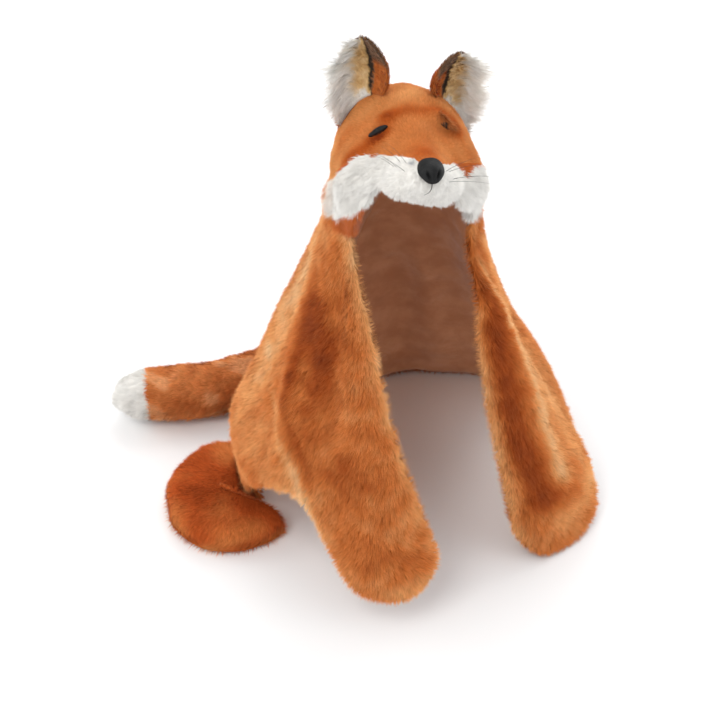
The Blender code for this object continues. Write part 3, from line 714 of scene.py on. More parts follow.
def mesh_object(name: str, points: Array, faces: Array | list[list[int]],
                material: bpy.types.Material, outward: bool = True) -> bpy.types.Object:
    """A mesh object at the origin.

    Args:
        name: The object's name.
        points: Vertices, one row each.
        faces: An array of faces that are alike, one row each, or a list of mixed ones.
        material: Its one material.
        outward: Turn a closed mesh's faces to point outwards.

    Returns:
        The object, linked to the scene and smooth shaded.
    """
    mesh = bpy.data.meshes.new(name)
    if isinstance(faces, list):
        mesh.from_pydata(points.tolist(), [], faces)
    else:
        mesh.vertices.add(len(points))
        mesh.vertices.foreach_set("co", np.asarray(points, np.float32).ravel())
        mesh.loops.add(faces.size)
        mesh.loops.foreach_set("vertex_index", faces.ravel().astype(np.int32))
        mesh.polygons.add(len(faces))
        starts = np.arange(0, faces.size, faces.shape[1], dtype=np.int32)
        mesh.polygons.foreach_set("loop_start", starts)
        mesh.update(calc_edges=True)
        mesh.validate()
    if outward:
        work = bmesh.new()
        work.from_mesh(mesh)
        bmesh.ops.recalc_face_normals(work, faces=work.faces)
        work.to_mesh(mesh)
        work.free()
    mesh.polygons.foreach_set("use_smooth", np.ones(len(mesh.polygons), bool))
    mesh.materials.append(material)
    return linked(name, mesh)


def paint(thing: bpy.types.Object, marks: Array) -> None:
    """Give each vertex its share, hair, region and tuft, in the attribute that furs read."""
    layer = thing.data.attributes.new("pile", "FLOAT_COLOR", "POINT")
    layer.data.foreach_set("color", np.asarray(marks, np.float32).ravel())


def paint_shell(thing: bpy.types.Object, region: Array) -> None:
    """Give a shell under the pile its regions, with the share and hair of the pile's roots."""
    paint(thing, np.stack(np.broadcast_arrays(0.22, 0.5, region, 0.5), -1))


def cloth_uv(thing: bpy.types.Object, metres: Array) -> None:
    """The cloth's own metres at each vertex, as a UV map."""
    loops = np.empty(len(thing.data.loops), np.int32)
    thing.data.loops.foreach_get("vertex_index", loops)
    thing.data.uv_layers.new(name="cloth").data.foreach_set("uv", metres[loops].ravel())


@dataclass
class Wall:
    """A closed cloth wall between two equal grids, with its edges rolled over.

    Attributes:
        inner: Grid of the side next to the wearer.
        outer: Grid of the face.
        roll: How far the rim bulges, as a share of half the wall's thickness.
    """

    inner: Array
    outer: Array
    roll: float = 1.0
    rim: Array = field(init=False)
    edge_out: Array = field(init=False)

    def __post_init__(self) -> None:
        """Work out the rim: round all four sides, midway between the faces and pushed outwards."""
        rows, columns = self.outer.shape[:2]
        index = np.arange(rows * columns).reshape(rows, columns)
        self.rim = np.concatenate([index[0], index[1:, -1], index[-1, -2::-1], index[-2:0:-1, 0]])
        within = np.concatenate([index[1], index[1:, -2], index[-2, -2::-1], index[-2:0:-1, 1]])
        flat = self.outer.reshape(-1, 3)
        self.edge_out = unit(flat[self.rim] - flat[within])

    def points(self) -> Array:
        """Outer grid, inner grid, and the rim's ring: mean of the edges + push * thickness / 2."""
        outer, inner = self.outer.reshape(-1, 3), self.inner.reshape(-1, 3)
        a, b = outer[self.rim], inner[self.rim]
        push = np.linalg.norm(a - b, axis=-1, keepdims=True) / 2 * self.roll
        return np.concatenate([outer, inner, (a + b) / 2 + self.edge_out * push])

    def faces(self) -> Array:
        """Both faces, and two strips round the rim."""
        rows, columns = self.outer.shape[:2]
        n = rows * columns
        ring = np.arange(len(self.rim)) + 2 * n
        after, ring_after = np.roll(self.rim, -1), np.roll(ring, -1)
        return np.concatenate([
            quads(rows, columns), quads(rows, columns, n),
            np.stack([self.rim, after, ring_after, ring], -1),
            np.stack([ring, ring_after, after + n, self.rim + n], -1)])

    def build(self, name: str, material: bpy.types.Material,
              region: Array | None = None) -> bpy.types.Object:
        """The wall's object, with the region of each vertex for a fur finish."""
        thing = mesh_object(name, self.points(), self.faces(), material)
        if region is not None:
            paint_shell(thing, self.spread(region[..., None])[:, 0])
        return thing

    def spread(self, values: Array) -> Array:
        """A grid of values given to every vertex: outer grid, inner grid and rim."""
        flat = values.reshape(-1, values.shape[-1])
        return np.concatenate([flat, flat, flat[self.rim]])

    def edge_nap(self, nap: Nap, keep: Array) -> Nap:
        """The pile that rolls over the rim.

        Across the rim the normal turns from the face's, through the outward push, to the back's.

        Args:
            nap: The pile of the wall's face, on the outer grid.
            keep: 1 for the rim's points that are a free edge and 0 at seams.

        Returns:
            A strip of pile: the rim's points, and once more the first, by three across.
        """
        n = self.outer.shape[0] * self.outer.shape[1]
        around = np.append(np.arange(len(self.rim)), 0)
        rim = self.rim[around]
        every, out = self.points(), nap.out.reshape(-1, 3)[rim]
        push, flow = self.edge_out[around], nap.flow.reshape(-1, 3)[rim]
        strip = np.stack([every[rim], every[2 * n + around], every[n + rim]], 1)
        out_strip = unit(np.stack([out * 0.7 + push * 0.7, push, push * 0.8 - out * 0.6], 1))
        down = np.abs((push * flow).sum(-1, keepdims=True))
        flow_strip = np.stack([flow - out * 0.6 * down] * 3, 1)
        rise = 38 + 34 * np.repeat(down, 3, 1)
        return Nap(strip, out_strip, flow_strip, nap.length.ravel()[rim][:, None] * 0.85, rise,
                   nap.region.ravel()[rim][:, None], keep[around][:, None])


def dress(piece: bpy.types.Object, replaces: Sequence[str] = ()) -> bpy.types.Object:
    """Let a piece ride on the frame, and stand for the nodes that it replaces."""
    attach(piece, "root")
    if replaces:
        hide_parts(*replaces)
    log.info("%s: %d faces", piece.name, len(piece.data.polygons))
    return piece


def furred(shell: bpy.types.Object, pile: Pile, name: str, finish: FurFinish) -> bpy.types.Object:
    """Build a node's pile, and let the shell and the pile stand for the node."""
    fur = pile.build(f"{name}_pile", finish)
    dress(shell, [name])
    dress(fur)
    return fur


# Cape


@dataclass(frozen=True)
class Section:
    """One ring of the cape: how far it reaches from the upright line, and the body's turn."""

    drop: float
    right: float
    left: float
    front_right: float
    front_left: float
    back: float
    power: float
    turn: float


@dataclass(frozen=True)
class Fold:
    """A soft ridge or trough down the cape: angles at its ends, width, ends, height."""

    top_angle: float
    low_angle: float
    width: float
    top: float
    low: float
    height: float


@dataclass(frozen=True)
class Streak:
    """A line of painted highlight or painted shade on the pile, lying flatter where lighter:
    (angle, drop) points from the top, width, change.
    """

    line: tuple[tuple[float, float], ...]
    width: float
    change: float

    def at(self, angle: Array, drop: Array) -> Array:
        """change * exp(-((angle - line) / width)**2), easing in and out at the line's ends."""
        angles, drops = np.array(self.line).T
        here = np.interp(drop, drops, angles)
        fade = ease(drop, drops[0] - 0.02, drops[0] + 0.01) * (
            1 - ease(drop, drops[-1] - 0.01, drops[-1] + 0.02))
        return self.change * fade * np.exp(-((angle - here) / self.width) ** 2)


@dataclass(frozen=True)
class Blotch:
    """A patch of painted highlight or painted shade on the pile: its middle, half sizes, change and
    slant.

    On the head, angle and drop are the chart's two directions.
    """

    angle: float
    drop: float
    half_angle: float
    half_drop: float
    change: float
    slant: float = 0.0

    def at(self, angle: Array, drop: Array) -> Array:
        """change * exp(-(scaled distance)**2)."""
        across = angle - self.angle
        down = drop - self.drop - self.slant * across
        return self.change * np.exp(-((across / self.half_angle) ** 2
                                      + (down / self.half_drop) ** 2))


@dataclass
class CapeForm:
    """The cape's worn surface as a function of the angle round the body and the drop."""

    plush: float = 0.009
    side_seam: float = 92.0
    back_power: float = 2.2
    neck: float = 0.118
    lowest: float = 0.588
    sections: tuple[Section, ...] = (
        Section(0.100, 0.083, 0.083, 0.070, 0.070, 0.098, 2.0, 0.0),
        Section(0.150, 0.088, 0.088, 0.078, 0.072, 0.100, 2.1, 2.0),
        Section(0.200, 0.101, 0.098, 0.095, 0.086, 0.116, 2.3, 8.0),
        Section(0.250, 0.117, 0.113, 0.118, 0.104, 0.134, 2.5, 13.0),
        Section(0.320, 0.143, 0.141, 0.145, 0.126, 0.152, 2.6, 15.0),
        Section(0.400, 0.177, 0.184, 0.176, 0.146, 0.168, 2.7, 15.0),
        Section(0.470, 0.210, 0.214, 0.204, 0.166, 0.180, 2.7, 15.0),
        Section(0.530, 0.202, 0.254, 0.232, 0.184, 0.192, 2.7, 15.0),
        Section(0.590, 0.184, 0.282, 0.262, 0.204, 0.208, 2.7, 15.0))
    folds: tuple[Fold, ...] = (
        Fold(-88, -66, 9, 0.28, 0.45, 0.014), Fold(-64, -55, 6, 0.16, 0.38, -0.008),
        Fold(-42, -30, 12, 0.26, 0.56, 0.010), Fold(43, 44, 10, 0.20, 0.54, 0.012),
        Fold(62, 64, 7, 0.24, 0.46, -0.008), Fold(31, 31, 5, 0.30, 0.50, -0.004),
        Fold(128, 120, 12, 0.24, 0.50, 0.008), Fold(158, 150, 9, 0.30, 0.62, 0.009),
        Fold(-128, -118, 12, 0.26, 0.50, 0.007), Fold(-160, -150, 9, 0.30, 0.62, 0.009),
        Fold(-141, -136, 6, 0.28, 0.56, -0.006), Fold(144, 138, 6, 0.28, 0.56, -0.006),
        Fold(-104, -82, 5, 0.34, 0.44, 0.0030), Fold(-76, -62, 4, 0.34, 0.44, -0.0035),
        Fold(-50, -41, 4, 0.34, 0.50, -0.0025), Fold(52, 50, 4, 0.28, 0.50, -0.0030),
        Fold(72, 70, 4, 0.30, 0.48, 0.0025), Fold(-172, -170, 5, 0.14, 0.42, -0.0030),
        Fold(172, 169, 5, 0.18, 0.40, 0.0028), Fold(110, 106, 5, 0.22, 0.44, -0.0030),
        Fold(-110, -106, 5, 0.20, 0.40, -0.0030), Fold(-150, -146, 4, 0.16, 0.34, 0.0025))
    edge: Pair[Table] = Pair(
        ((60, 0.118), (52, 0.162), (43, 0.205), (37, 0.251), (30, 0.322), (22, 0.388),
         (17, 0.440), (14.5, 0.480)),
        ((60, 0.118), (52, 0.165), (41, 0.200), (29, 0.250), (23.5, 0.300), (22, 0.360),
         (22, 0.440), (21.5, 0.518)))
    front_hem: Pair[Table] = Pair(
        ((14.5, 0.480), (16.5, 0.508), (21.5, 0.529), (27, 0.536), (34, 0.532), (40, 0.516),
         (45, 0.487), (51, 0.461), (57, 0.443), (64, 0.437), (71, 0.445), (78.5, 0.461),
         (92, 0.500)),
        ((21.5, 0.518), (24.5, 0.553), (31, 0.583), (38, 0.588), (45, 0.586), (52, 0.574),
         (57, 0.552), (61, 0.522), (65, 0.490), (70, 0.468), (78, 0.460), (92, 0.495)))
    back_hem: Pair[Table] = Pair(
        ((92, 0.500), (96, 0.520), (100, 0.550), (105, 0.580), (111, 0.588), (180, 0.588)),
        ((92, 0.495), (96, 0.515), (100, 0.545), (105, 0.578), (111, 0.588), (180, 0.588)))

    def ring(self, name: str, drop: Array) -> Array:
        """One column of the sections' table, as a smooth curve of the drop."""
        return smooth(drop, [s.drop for s in self.sections],
                      [getattr(s, name) for s in self.sections])

    def plain(self, angle: Array, drop: Array) -> Array:
        """The plain inner face: each ring is a rounded box, |side|**n + |ahead|**n = 1 in its
        reaches, turned with the body."""
        side, ahead = np.sin(np.radians(angle)), np.cos(np.radians(angle))
        width = np.where(angle < 0, self.ring("right", drop), self.ring("left", drop))
        front = np.where(angle < 0, self.ring("front_right", drop), self.ring("front_left", drop))
        depth = np.where(ahead > 0, front, self.ring("back", drop))
        power = np.where(ahead > 0, self.ring("power", drop), self.back_power)
        reach = (np.abs(side / width) ** power + np.abs(ahead / depth) ** power) ** (-1 / power)
        turn = np.radians(self.ring("turn", drop))
        across, forward = reach * side, reach * ahead
        return np.stack([across * np.cos(turn) + forward * np.sin(turn),
                         across * np.sin(turn) - forward * np.cos(turn), -drop], -1)

    def face(self, angle: Array, drop: Array, lift: Array | float) -> Array:
        """The worn face, lift outside the inner one: the plain ring, and along its normal every
        fold's height * fade * exp(-((angle - middle) / width)**2)."""
        angle, drop = np.broadcast_arrays(np.asarray(angle, float), np.asarray(drop, float))
        down = self.plain(angle, drop + 5e-4) - self.plain(angle, drop - 5e-4)
        around = self.plain(angle + 0.1, drop) - self.plain(angle - 0.1, drop)
        out = unit(np.cross(down, around))
        rise = np.zeros_like(drop)
        for fold in self.folds:
            share = np.clip((drop - fold.top) / (fold.low - fold.top), 0, 1)
            middle = fold.top_angle + (fold.low_angle - fold.top_angle) * share
            fade = ease(drop, fold.top - 0.03, fold.top + 0.05) * (
                1 - ease(drop, fold.low - 0.05, fold.low + 0.03))
            rise = rise + fold.height * fade * np.exp(-((angle - middle) / fold.width) ** 2)
        return self.plain(angle, drop) + out * (rise + lift)[..., None]

    def front(self, side: Side, rows: int, columns: int, edge: float,
              hem: float) -> tuple[Array, Array]:
        """Angle from the front and drop over a front piece.

        Args:
            side: Which half.
            rows: Points down the piece.
            columns: Points back from its free edge.
            edge: Share of the width that is left off at the free edge.
            hem: Share of the length that is left off at the hem.

        Returns:
            The angle, without its sign, and the drop.
        """
        v = (np.linspace(0, 1, rows) * (1 - hem))[:, None]
        u = (edge + np.linspace(0, 1, columns) ** 1.2 * (1 - edge))[None, :]
        low = self.front_hem[side]
        lowest = smooth(low[0][0] * (1 - u) + self.side_seam * u, *zip(*low))
        drop = self.neck + v * (lowest - self.neck)
        angles, drops = zip(*self.edge[side])
        free = smooth(self.neck + v * (drops[-1] - self.neck), drops, angles)
        return free * (1 - u) + (self.side_seam - 0.1) * u, drop

    def back(self, side: Side, rows: int, columns: int, hem: float) -> tuple[Array, Array]:
        """Angle from the front and drop over a back piece, side seam to centre back."""
        v = (np.linspace(0, 1, rows) * (1 - hem))[:, None]
        angle = (self.side_seam + 0.1 + (87.8 * np.linspace(0, 1, columns)))[None, :]
        drop = self.neck + v * (smooth(angle, *zip(*self.back_hem[side])) - self.neck)
        return angle + 0 * drop, drop


@dataclass
class Cape:
    """The four fur pieces of the cape with their paws, and the linings behind them."""

    form: CapeForm = field(default_factory=CapeForm)
    backing: float = 0.0038
    tuck: float = 0.0012
    paw_extra: float = 0.006
    coat: Coat = Coat()
    # Painted highlight and painted shade on the pile: lit bands along the silhouettes, light and
    # shade along the folds, and darker shaded places.
    lights: Pair[tuple[Streak | Blotch, ...]] = Pair(
        (
            Blotch(84, 0.248, 13, 0.042, -0.42), Blotch(67, 0.275, 9, 0.045, -0.30),
            Blotch(66, 0.345, 6, 0.030, -0.14), Blotch(47, 0.372, 6, 0.022, -0.18),
            Blotch(49, 0.300, 5, 0.025, 0.06), Blotch(37, 0.395, 5, 0.014, -0.08),
            Blotch(30, 0.470, 8, 0.022, -0.08), Blotch(46, 0.408, 4, 0.018, -0.10),
            Blotch(78, 0.462, 7, 0.012, -0.14), Blotch(90, 0.425, 17, 0.045, 0.12),
            Blotch(64, 0.448, 8, 0.025, 0.28), Blotch(54, 0.468, 5, 0.030, 0.28),
            Blotch(46, 0.505, 5, 0.025, 0.28), Blotch(41, 0.385, 5, 0.018, -0.04),
            Blotch(26, 0.440, 5, 0.030, 0.12), Blotch(22, 0.520, 12, 0.012, 0.20),
            Blotch(116, 0.235, 13, 0.105, 0.42), Blotch(112, 0.380, 10, 0.080, 0.20),
            Blotch(100, 0.150, 14, 0.030, 0.14),
            Streak(((117, 0.346), (91, 0.365), (73.5, 0.392), (64.5, 0.413), (54, 0.453),
                    (48.5, 0.485)), 3.0, 0.38),
            Streak(((84, 0.290), (79, 0.352), (67.5, 0.380), (61, 0.400)), 3.0, -0.24)),
        (
            Streak(((51, 0.126), (39, 0.235), (34, 0.287), (32.5, 0.400), (33, 0.446), (34, 0.510)),
                   5.5, -0.36),
            Streak(((58, 0.171), (51.5, 0.220), (47.5, 0.260), (46.5, 0.300), (46.5, 0.341),
                    (44.5, 0.397), (43, 0.492)), 3.2, 0.38),
            Blotch(50, 0.150, 15, 0.040, -0.36), Blotch(51, 0.285, 4, 0.040, 0.20),
            Blotch(53, 0.345, 5, 0.050, 0.20),
            Streak(((74, 0.160), (63, 0.280), (59, 0.370), (60, 0.470), (56, 0.545)), 9.0, 0.27),
            Blotch(40, 0.550, 12, 0.020, 0.14), Blotch(60, 0.474, 4, 0.010, -0.24),
            Blotch(61, 0.512, 4, 0.014, -0.24), Blotch(44, 0.503, 6, 0.018, -0.10),
            Blotch(27, 0.420, 3, 0.080, 0.12)))
    paw_middle: Pair[tuple[float, float]] = Pair((33, 0.455), (38, 0.505))
    paw_reach: Pair[float] = Pair(50, 57)
    cuts: dict[str, tuple[tuple[float, float], float]] = field(default_factory=lambda: {
        "front_right": ((0.31, 0.47), 0.070), "front_left": ((0.33, 0.50), 0.083),
        "back_right": ((0.35, 0.50), 0.124), "back_left": ((0.41, 0.51), 0.130),
        "lining_right": ((0.66, 0.49), 0.180), "lining_left": ((0.75, 0.51), 0.198)})

    def drape(self, side: Side, angle: Array, drop: Array, lift: Array | float) -> Array:
        """The worn surface at angles without their sign."""
        return self.form.face(side.sign * angle, drop, lift)

    def padding(self, side: Side, angle: Array, drop: Array) -> Array:
        """Padding of the paw: it comes in over the lower leg and ends past the paw's outer side."""
        reach = self.paw_reach[side]
        return self.paw_extra * ease(drop, 0.43, 0.50) * (1 - ease(angle, reach - 8, reach + 4))

    def from_edge(self, side: Side, angle: Array, drop: Array, reach: Array) -> Array:
        """Metres round the body from the free edge."""
        angles, drops = zip(*self.form.edge[side])
        return np.maximum(np.radians(angle - smooth(drop, drops, angles)) * reach, 0)

    def comb(self, side: Side, angle: Array, drop: Array, points: Array) -> Array:
        """Direction of the pile in degrees from straight down, positive away from the free edge.

        It runs down the cape, over the free edge beside it, fans out from the middle of the paw,
        and wavers.
        """
        reach = np.linalg.norm(points[..., :2], axis=-1)
        back = self.from_edge(side, angle, drop, reach)
        way = -42 * np.exp(-(back / 0.022) ** 2) * ease(drop, 0.12, 0.18)
        middle = self.paw_middle[side]
        fan = np.arctan2(np.radians(angle - middle[0]) * reach, drop - middle[1] + 0.012)
        paw = ease(drop, middle[1] - 0.005, middle[1] + 0.035) * (
            1 - ease(angle, middle[0] + 22, middle[0] + 34))
        way = way * (1 - paw) + np.clip(np.degrees(fan), -85, 85) * paw
        if side is Side.LEFT:
            parting = np.tanh((angle - 34) / 4) * np.exp(-((angle - 34) / 12) ** 2)
            way = way + 26 * parting * (1 - paw) * ease(drop, 0.16, 0.24)
        return way + 13 * ripple(points, 0.075, 21) + 7 * ripple(points, 0.028, 22)

    def nap(self, side: Side, angle: Array, drop: Array, points: Array) -> Nap:
        """All fields of the pile over one fur piece."""
        down = unit(self.drape(side, angle, drop + 1e-3, 0.0)
                    - self.drape(side, angle, drop - 1e-3, 0.0))
        back = unit(self.drape(side, angle + 0.2, drop, 0.0)
                    - self.drape(side, angle - 0.2, drop, 0.0))
        way = np.radians(self.comb(side, angle, drop, points))[..., None]
        reach = np.linalg.norm(points[..., :2], axis=-1)
        # Painted highlight along the free edge, then the painted highlights and shades of lights,
        # then random tone.
        light = 0.34 * np.exp(-(self.from_edge(side, angle, drop, reach) / 0.011) ** 2)
        for mark in self.lights[side]:
            light = light + mark.at(angle, drop)
        light = light + 0.06 * ripple(points, 0.045, 31) + 0.06 * ripple(points, 0.018, 32)
        region = np.clip(0.50 + light, 0.02, 0.98)
        length = 0.0135 - 0.003 * (region - 0.5) + 0.0015 * ease(drop, 0.20, 0.40)
        length = length * (0.80 + 0.20 * ease(drop, 0.12, 0.18))
        rise = 33 - 26 * (region - 0.5)
        return Nap(points, normals(points, points * (0.0, 0.0, 1.0)),
                   down * np.cos(way) + back * np.sin(way), length, rise, region)

    def build_fur(self, side: Side, part: str, seed: int) -> None:
        """One fur piece: the backing's closed wall, and the pile on its face and free edges.

        Args:
            side: Which half.
            part: "front" or "back".
            seed: Seed of the pile.
        """
        if part == "front":
            angle, drop = self.form.front(side, 66, 40, 0.016, 0.008)
        else:
            angle, drop = self.form.back(side, 60, 36, 0.006)
        lift = self.backing * np.ones_like(drop)
        if part == "front":
            lift = lift + self.padding(side, angle, drop)
            lift[:, 0] -= self.tuck
        lift[-1, :] -= self.tuck
        outer = self.drape(side, angle, drop, lift)
        wall = Wall(self.drape(side, angle, drop, 0.0), outer)
        nap = self.nap(side, angle, drop, outer)
        name = f"{part}_{side.value}"
        shell = wall.build(f"{name}_backing", ORANGE.material(f"{name}_backing", True), nap.region)
        rows, columns = outer.shape[:2]
        keep = np.zeros(len(wall.rim))
        keep[columns + rows - 2:columns + rows - 1 + columns - 1] = 1
        if part == "front":
            keep[columns + rows + columns - 3:] = 1
            keep[0] = 1
        pile = Pile(self.coat, seed)
        pile.grow(nap)
        pile.grow(wall.edge_nap(nap, keep), 1.3)
        fur = furred(shell, pile, name, ORANGE)

    def build_lining(self, side: Side) -> None:
        """The lining of one half: one sheet over front and back, with its seam and crease marks."""
        front_angle, front_drop = self.form.front(side, 72, 34, 0.028, 0.020)
        back_angle, back_drop = self.form.back(side, 72, 30, 0.014)
        angle = np.concatenate([front_angle, back_angle[:, 1:]], 1)
        drop = np.concatenate([front_drop, back_drop[:, 1:]], 1)
        place = self.drape(side, angle, drop, 0.0)
        slack = 0.0012 * ripple(place, 0.035, 41) + 0.0016 * ripple(place * (1, 1, 0.35), 0.05, 42)
        slack = slack - 0.0010 * np.exp(-((angle - 92) / 1.2) ** 2)
        inner = self.drape(side, angle, drop, -0.0030 - np.abs(slack))
        outer = self.drape(side, angle, drop, -0.0018 - np.abs(slack))
        name = f"lining_{side.value}"
        wall = Wall(inner, outer)
        lining = wall.build(f"{name}_cloth", LiningFinish().material(f"{name}_cloth"))
        reach = np.linalg.norm(place[..., :2], axis=-1)
        cloth_uv(lining, wall.spread(np.stack([np.radians(angle) * reach, drop], -1)))
        dress(lining, [name])

    def build(self) -> None:
        """All pieces of the cape."""
        for seed, side in enumerate(Side):
            self.build_fur(side, "front", 100 + seed)
            self.build_fur(side, "back", 200 + seed)
            self.build_lining(side)


# Hood


@dataclass(frozen=True)
class Relief:
    """Padding over the hood: place and half sizes on the chart, height, and how square it is."""

    across: float
    along: float
    half_across: float
    half_along: float
    height: float
    power: float = 2.0


@dataclass
class HoodForm:
    """The fox's head as a star-shaped surface round the skull's centre.

    A chart in degrees gives each direction: across to the wearer's left, along to the nape, both
    from straight up. Low down the surface runs over into the cape's top ring.
    """

    cape: CapeForm = field(default_factory=CapeForm)
    centre: Triple = (0.0, 0.0, -0.075)
    inside: Triple = (0.075, 0.095, 0.075)
    outside: Triple = (0.087, 0.111, 0.105)
    ring_inset: float = 0.0022
    neck_angle: float = 112.0
    neck_blend: float = 92.0
    reliefs: tuple[Relief, ...] = (
        Relief(0, -57, 17, 13, 0.050, 2.4), Relief(20, -62, 13, 9, 0.012),
        Relief(-20, -62, 13, 9, 0.012), Relief(0, -36, 9, 13, 0.010), Relief(18, -14, 8, 5, 0.005),
        Relief(-18, -14, 8, 5, 0.005), Relief(24, -26, 8, 5, -0.006),
        Relief(-24, -26, 8, 5, -0.006), Relief(66, -46, 24, 20, 0.012),
        Relief(-66, -46, 24, 20, 0.012))

    def point(self, chart: Array, lift: Array | float, outside: bool = True) -> Array:
        """A point of the hood: centre + ray * (ellipsoid radius + reliefs + lift), blended into
        the cape's ring between neck_blend and neck_angle from straight up."""
        chart = np.asarray(chart, float)
        polar = np.hypot(chart[..., 0], chart[..., 1])
        azimuth = np.arctan2(chart[..., 0], -chart[..., 1])
        tilt = np.radians(polar)
        ray = np.stack([np.sin(tilt) * np.sin(azimuth), -np.sin(tilt) * np.cos(azimuth),
                        np.cos(tilt)], -1)
        lift = np.broadcast_to(lift, polar.shape)
        radius = 1 / np.linalg.norm(ray / (self.outside if outside else self.inside), axis=-1)
        ring_lift = lift - self.ring_inset
        if outside:
            for bump in self.reliefs:
                away = np.hypot((chart[..., 0] - bump.across) / bump.half_across,
                                (chart[..., 1] - bump.along) / bump.half_along)
                radius = radius + bump.height * np.exp(-away ** bump.power)
            ring_lift = self.cape.plush + lift
        star = self.centre + ray * (radius + lift)[..., None]
        angle = np.clip(np.degrees(azimuth), -180, 180)
        ring = self.cape.face(angle, np.full_like(angle, self.cape.neck), ring_lift)
        low = ease(polar, self.neck_blend, self.neck_angle)[..., None]
        return star * (1 - low) + ring * low

    def to_chart(self, points: Array) -> tuple[Array, Array]:
        """Chart place of points, and their distance from the skull's centre."""
        rel = points - self.centre
        r = np.linalg.norm(rel, axis=-1)
        polar = np.degrees(np.arccos(rel[..., 2] / r))
        azimuth = np.arctan2(rel[..., 0], -rel[..., 1])
        return np.stack([polar * np.sin(azimuth), -polar * np.cos(azimuth)], -1), r

    def askew(self, chart: Array) -> Array:
        """The chart of the head as worn, askew: the lower face sits lower on the wearer's left and
        a little higher on the right. Crown and neck stay."""
        across, lengthwise = chart[..., 0], chart[..., 1]
        shift = 7.0 * np.tanh(across / 22) + 3.0 * (1 - np.exp(-(across / 20) ** 2))
        fade = ease(-lengthwise, 10, 30) * (1 - ease(np.hypot(across, lengthwise), 70, 108))
        return np.stack([across, lengthwise - shift * fade], -1)

    def step(self, chart: Array, way: Array) -> Array:
        """Unit direction on the surface that a direction on the chart gives."""
        way = unit(way) * 0.4
        return unit(self.point(chart + way, 0.0) - self.point(chart - way, 0.0))


class HoodPart(Enum):
    """A padded piece of the head, by its node's name without the side."""

    BRIDGE = "hood_bridge"
    SIDE = "hood_side"
    CHEEK = "cheek"
    MUZZLE = "muzzle"


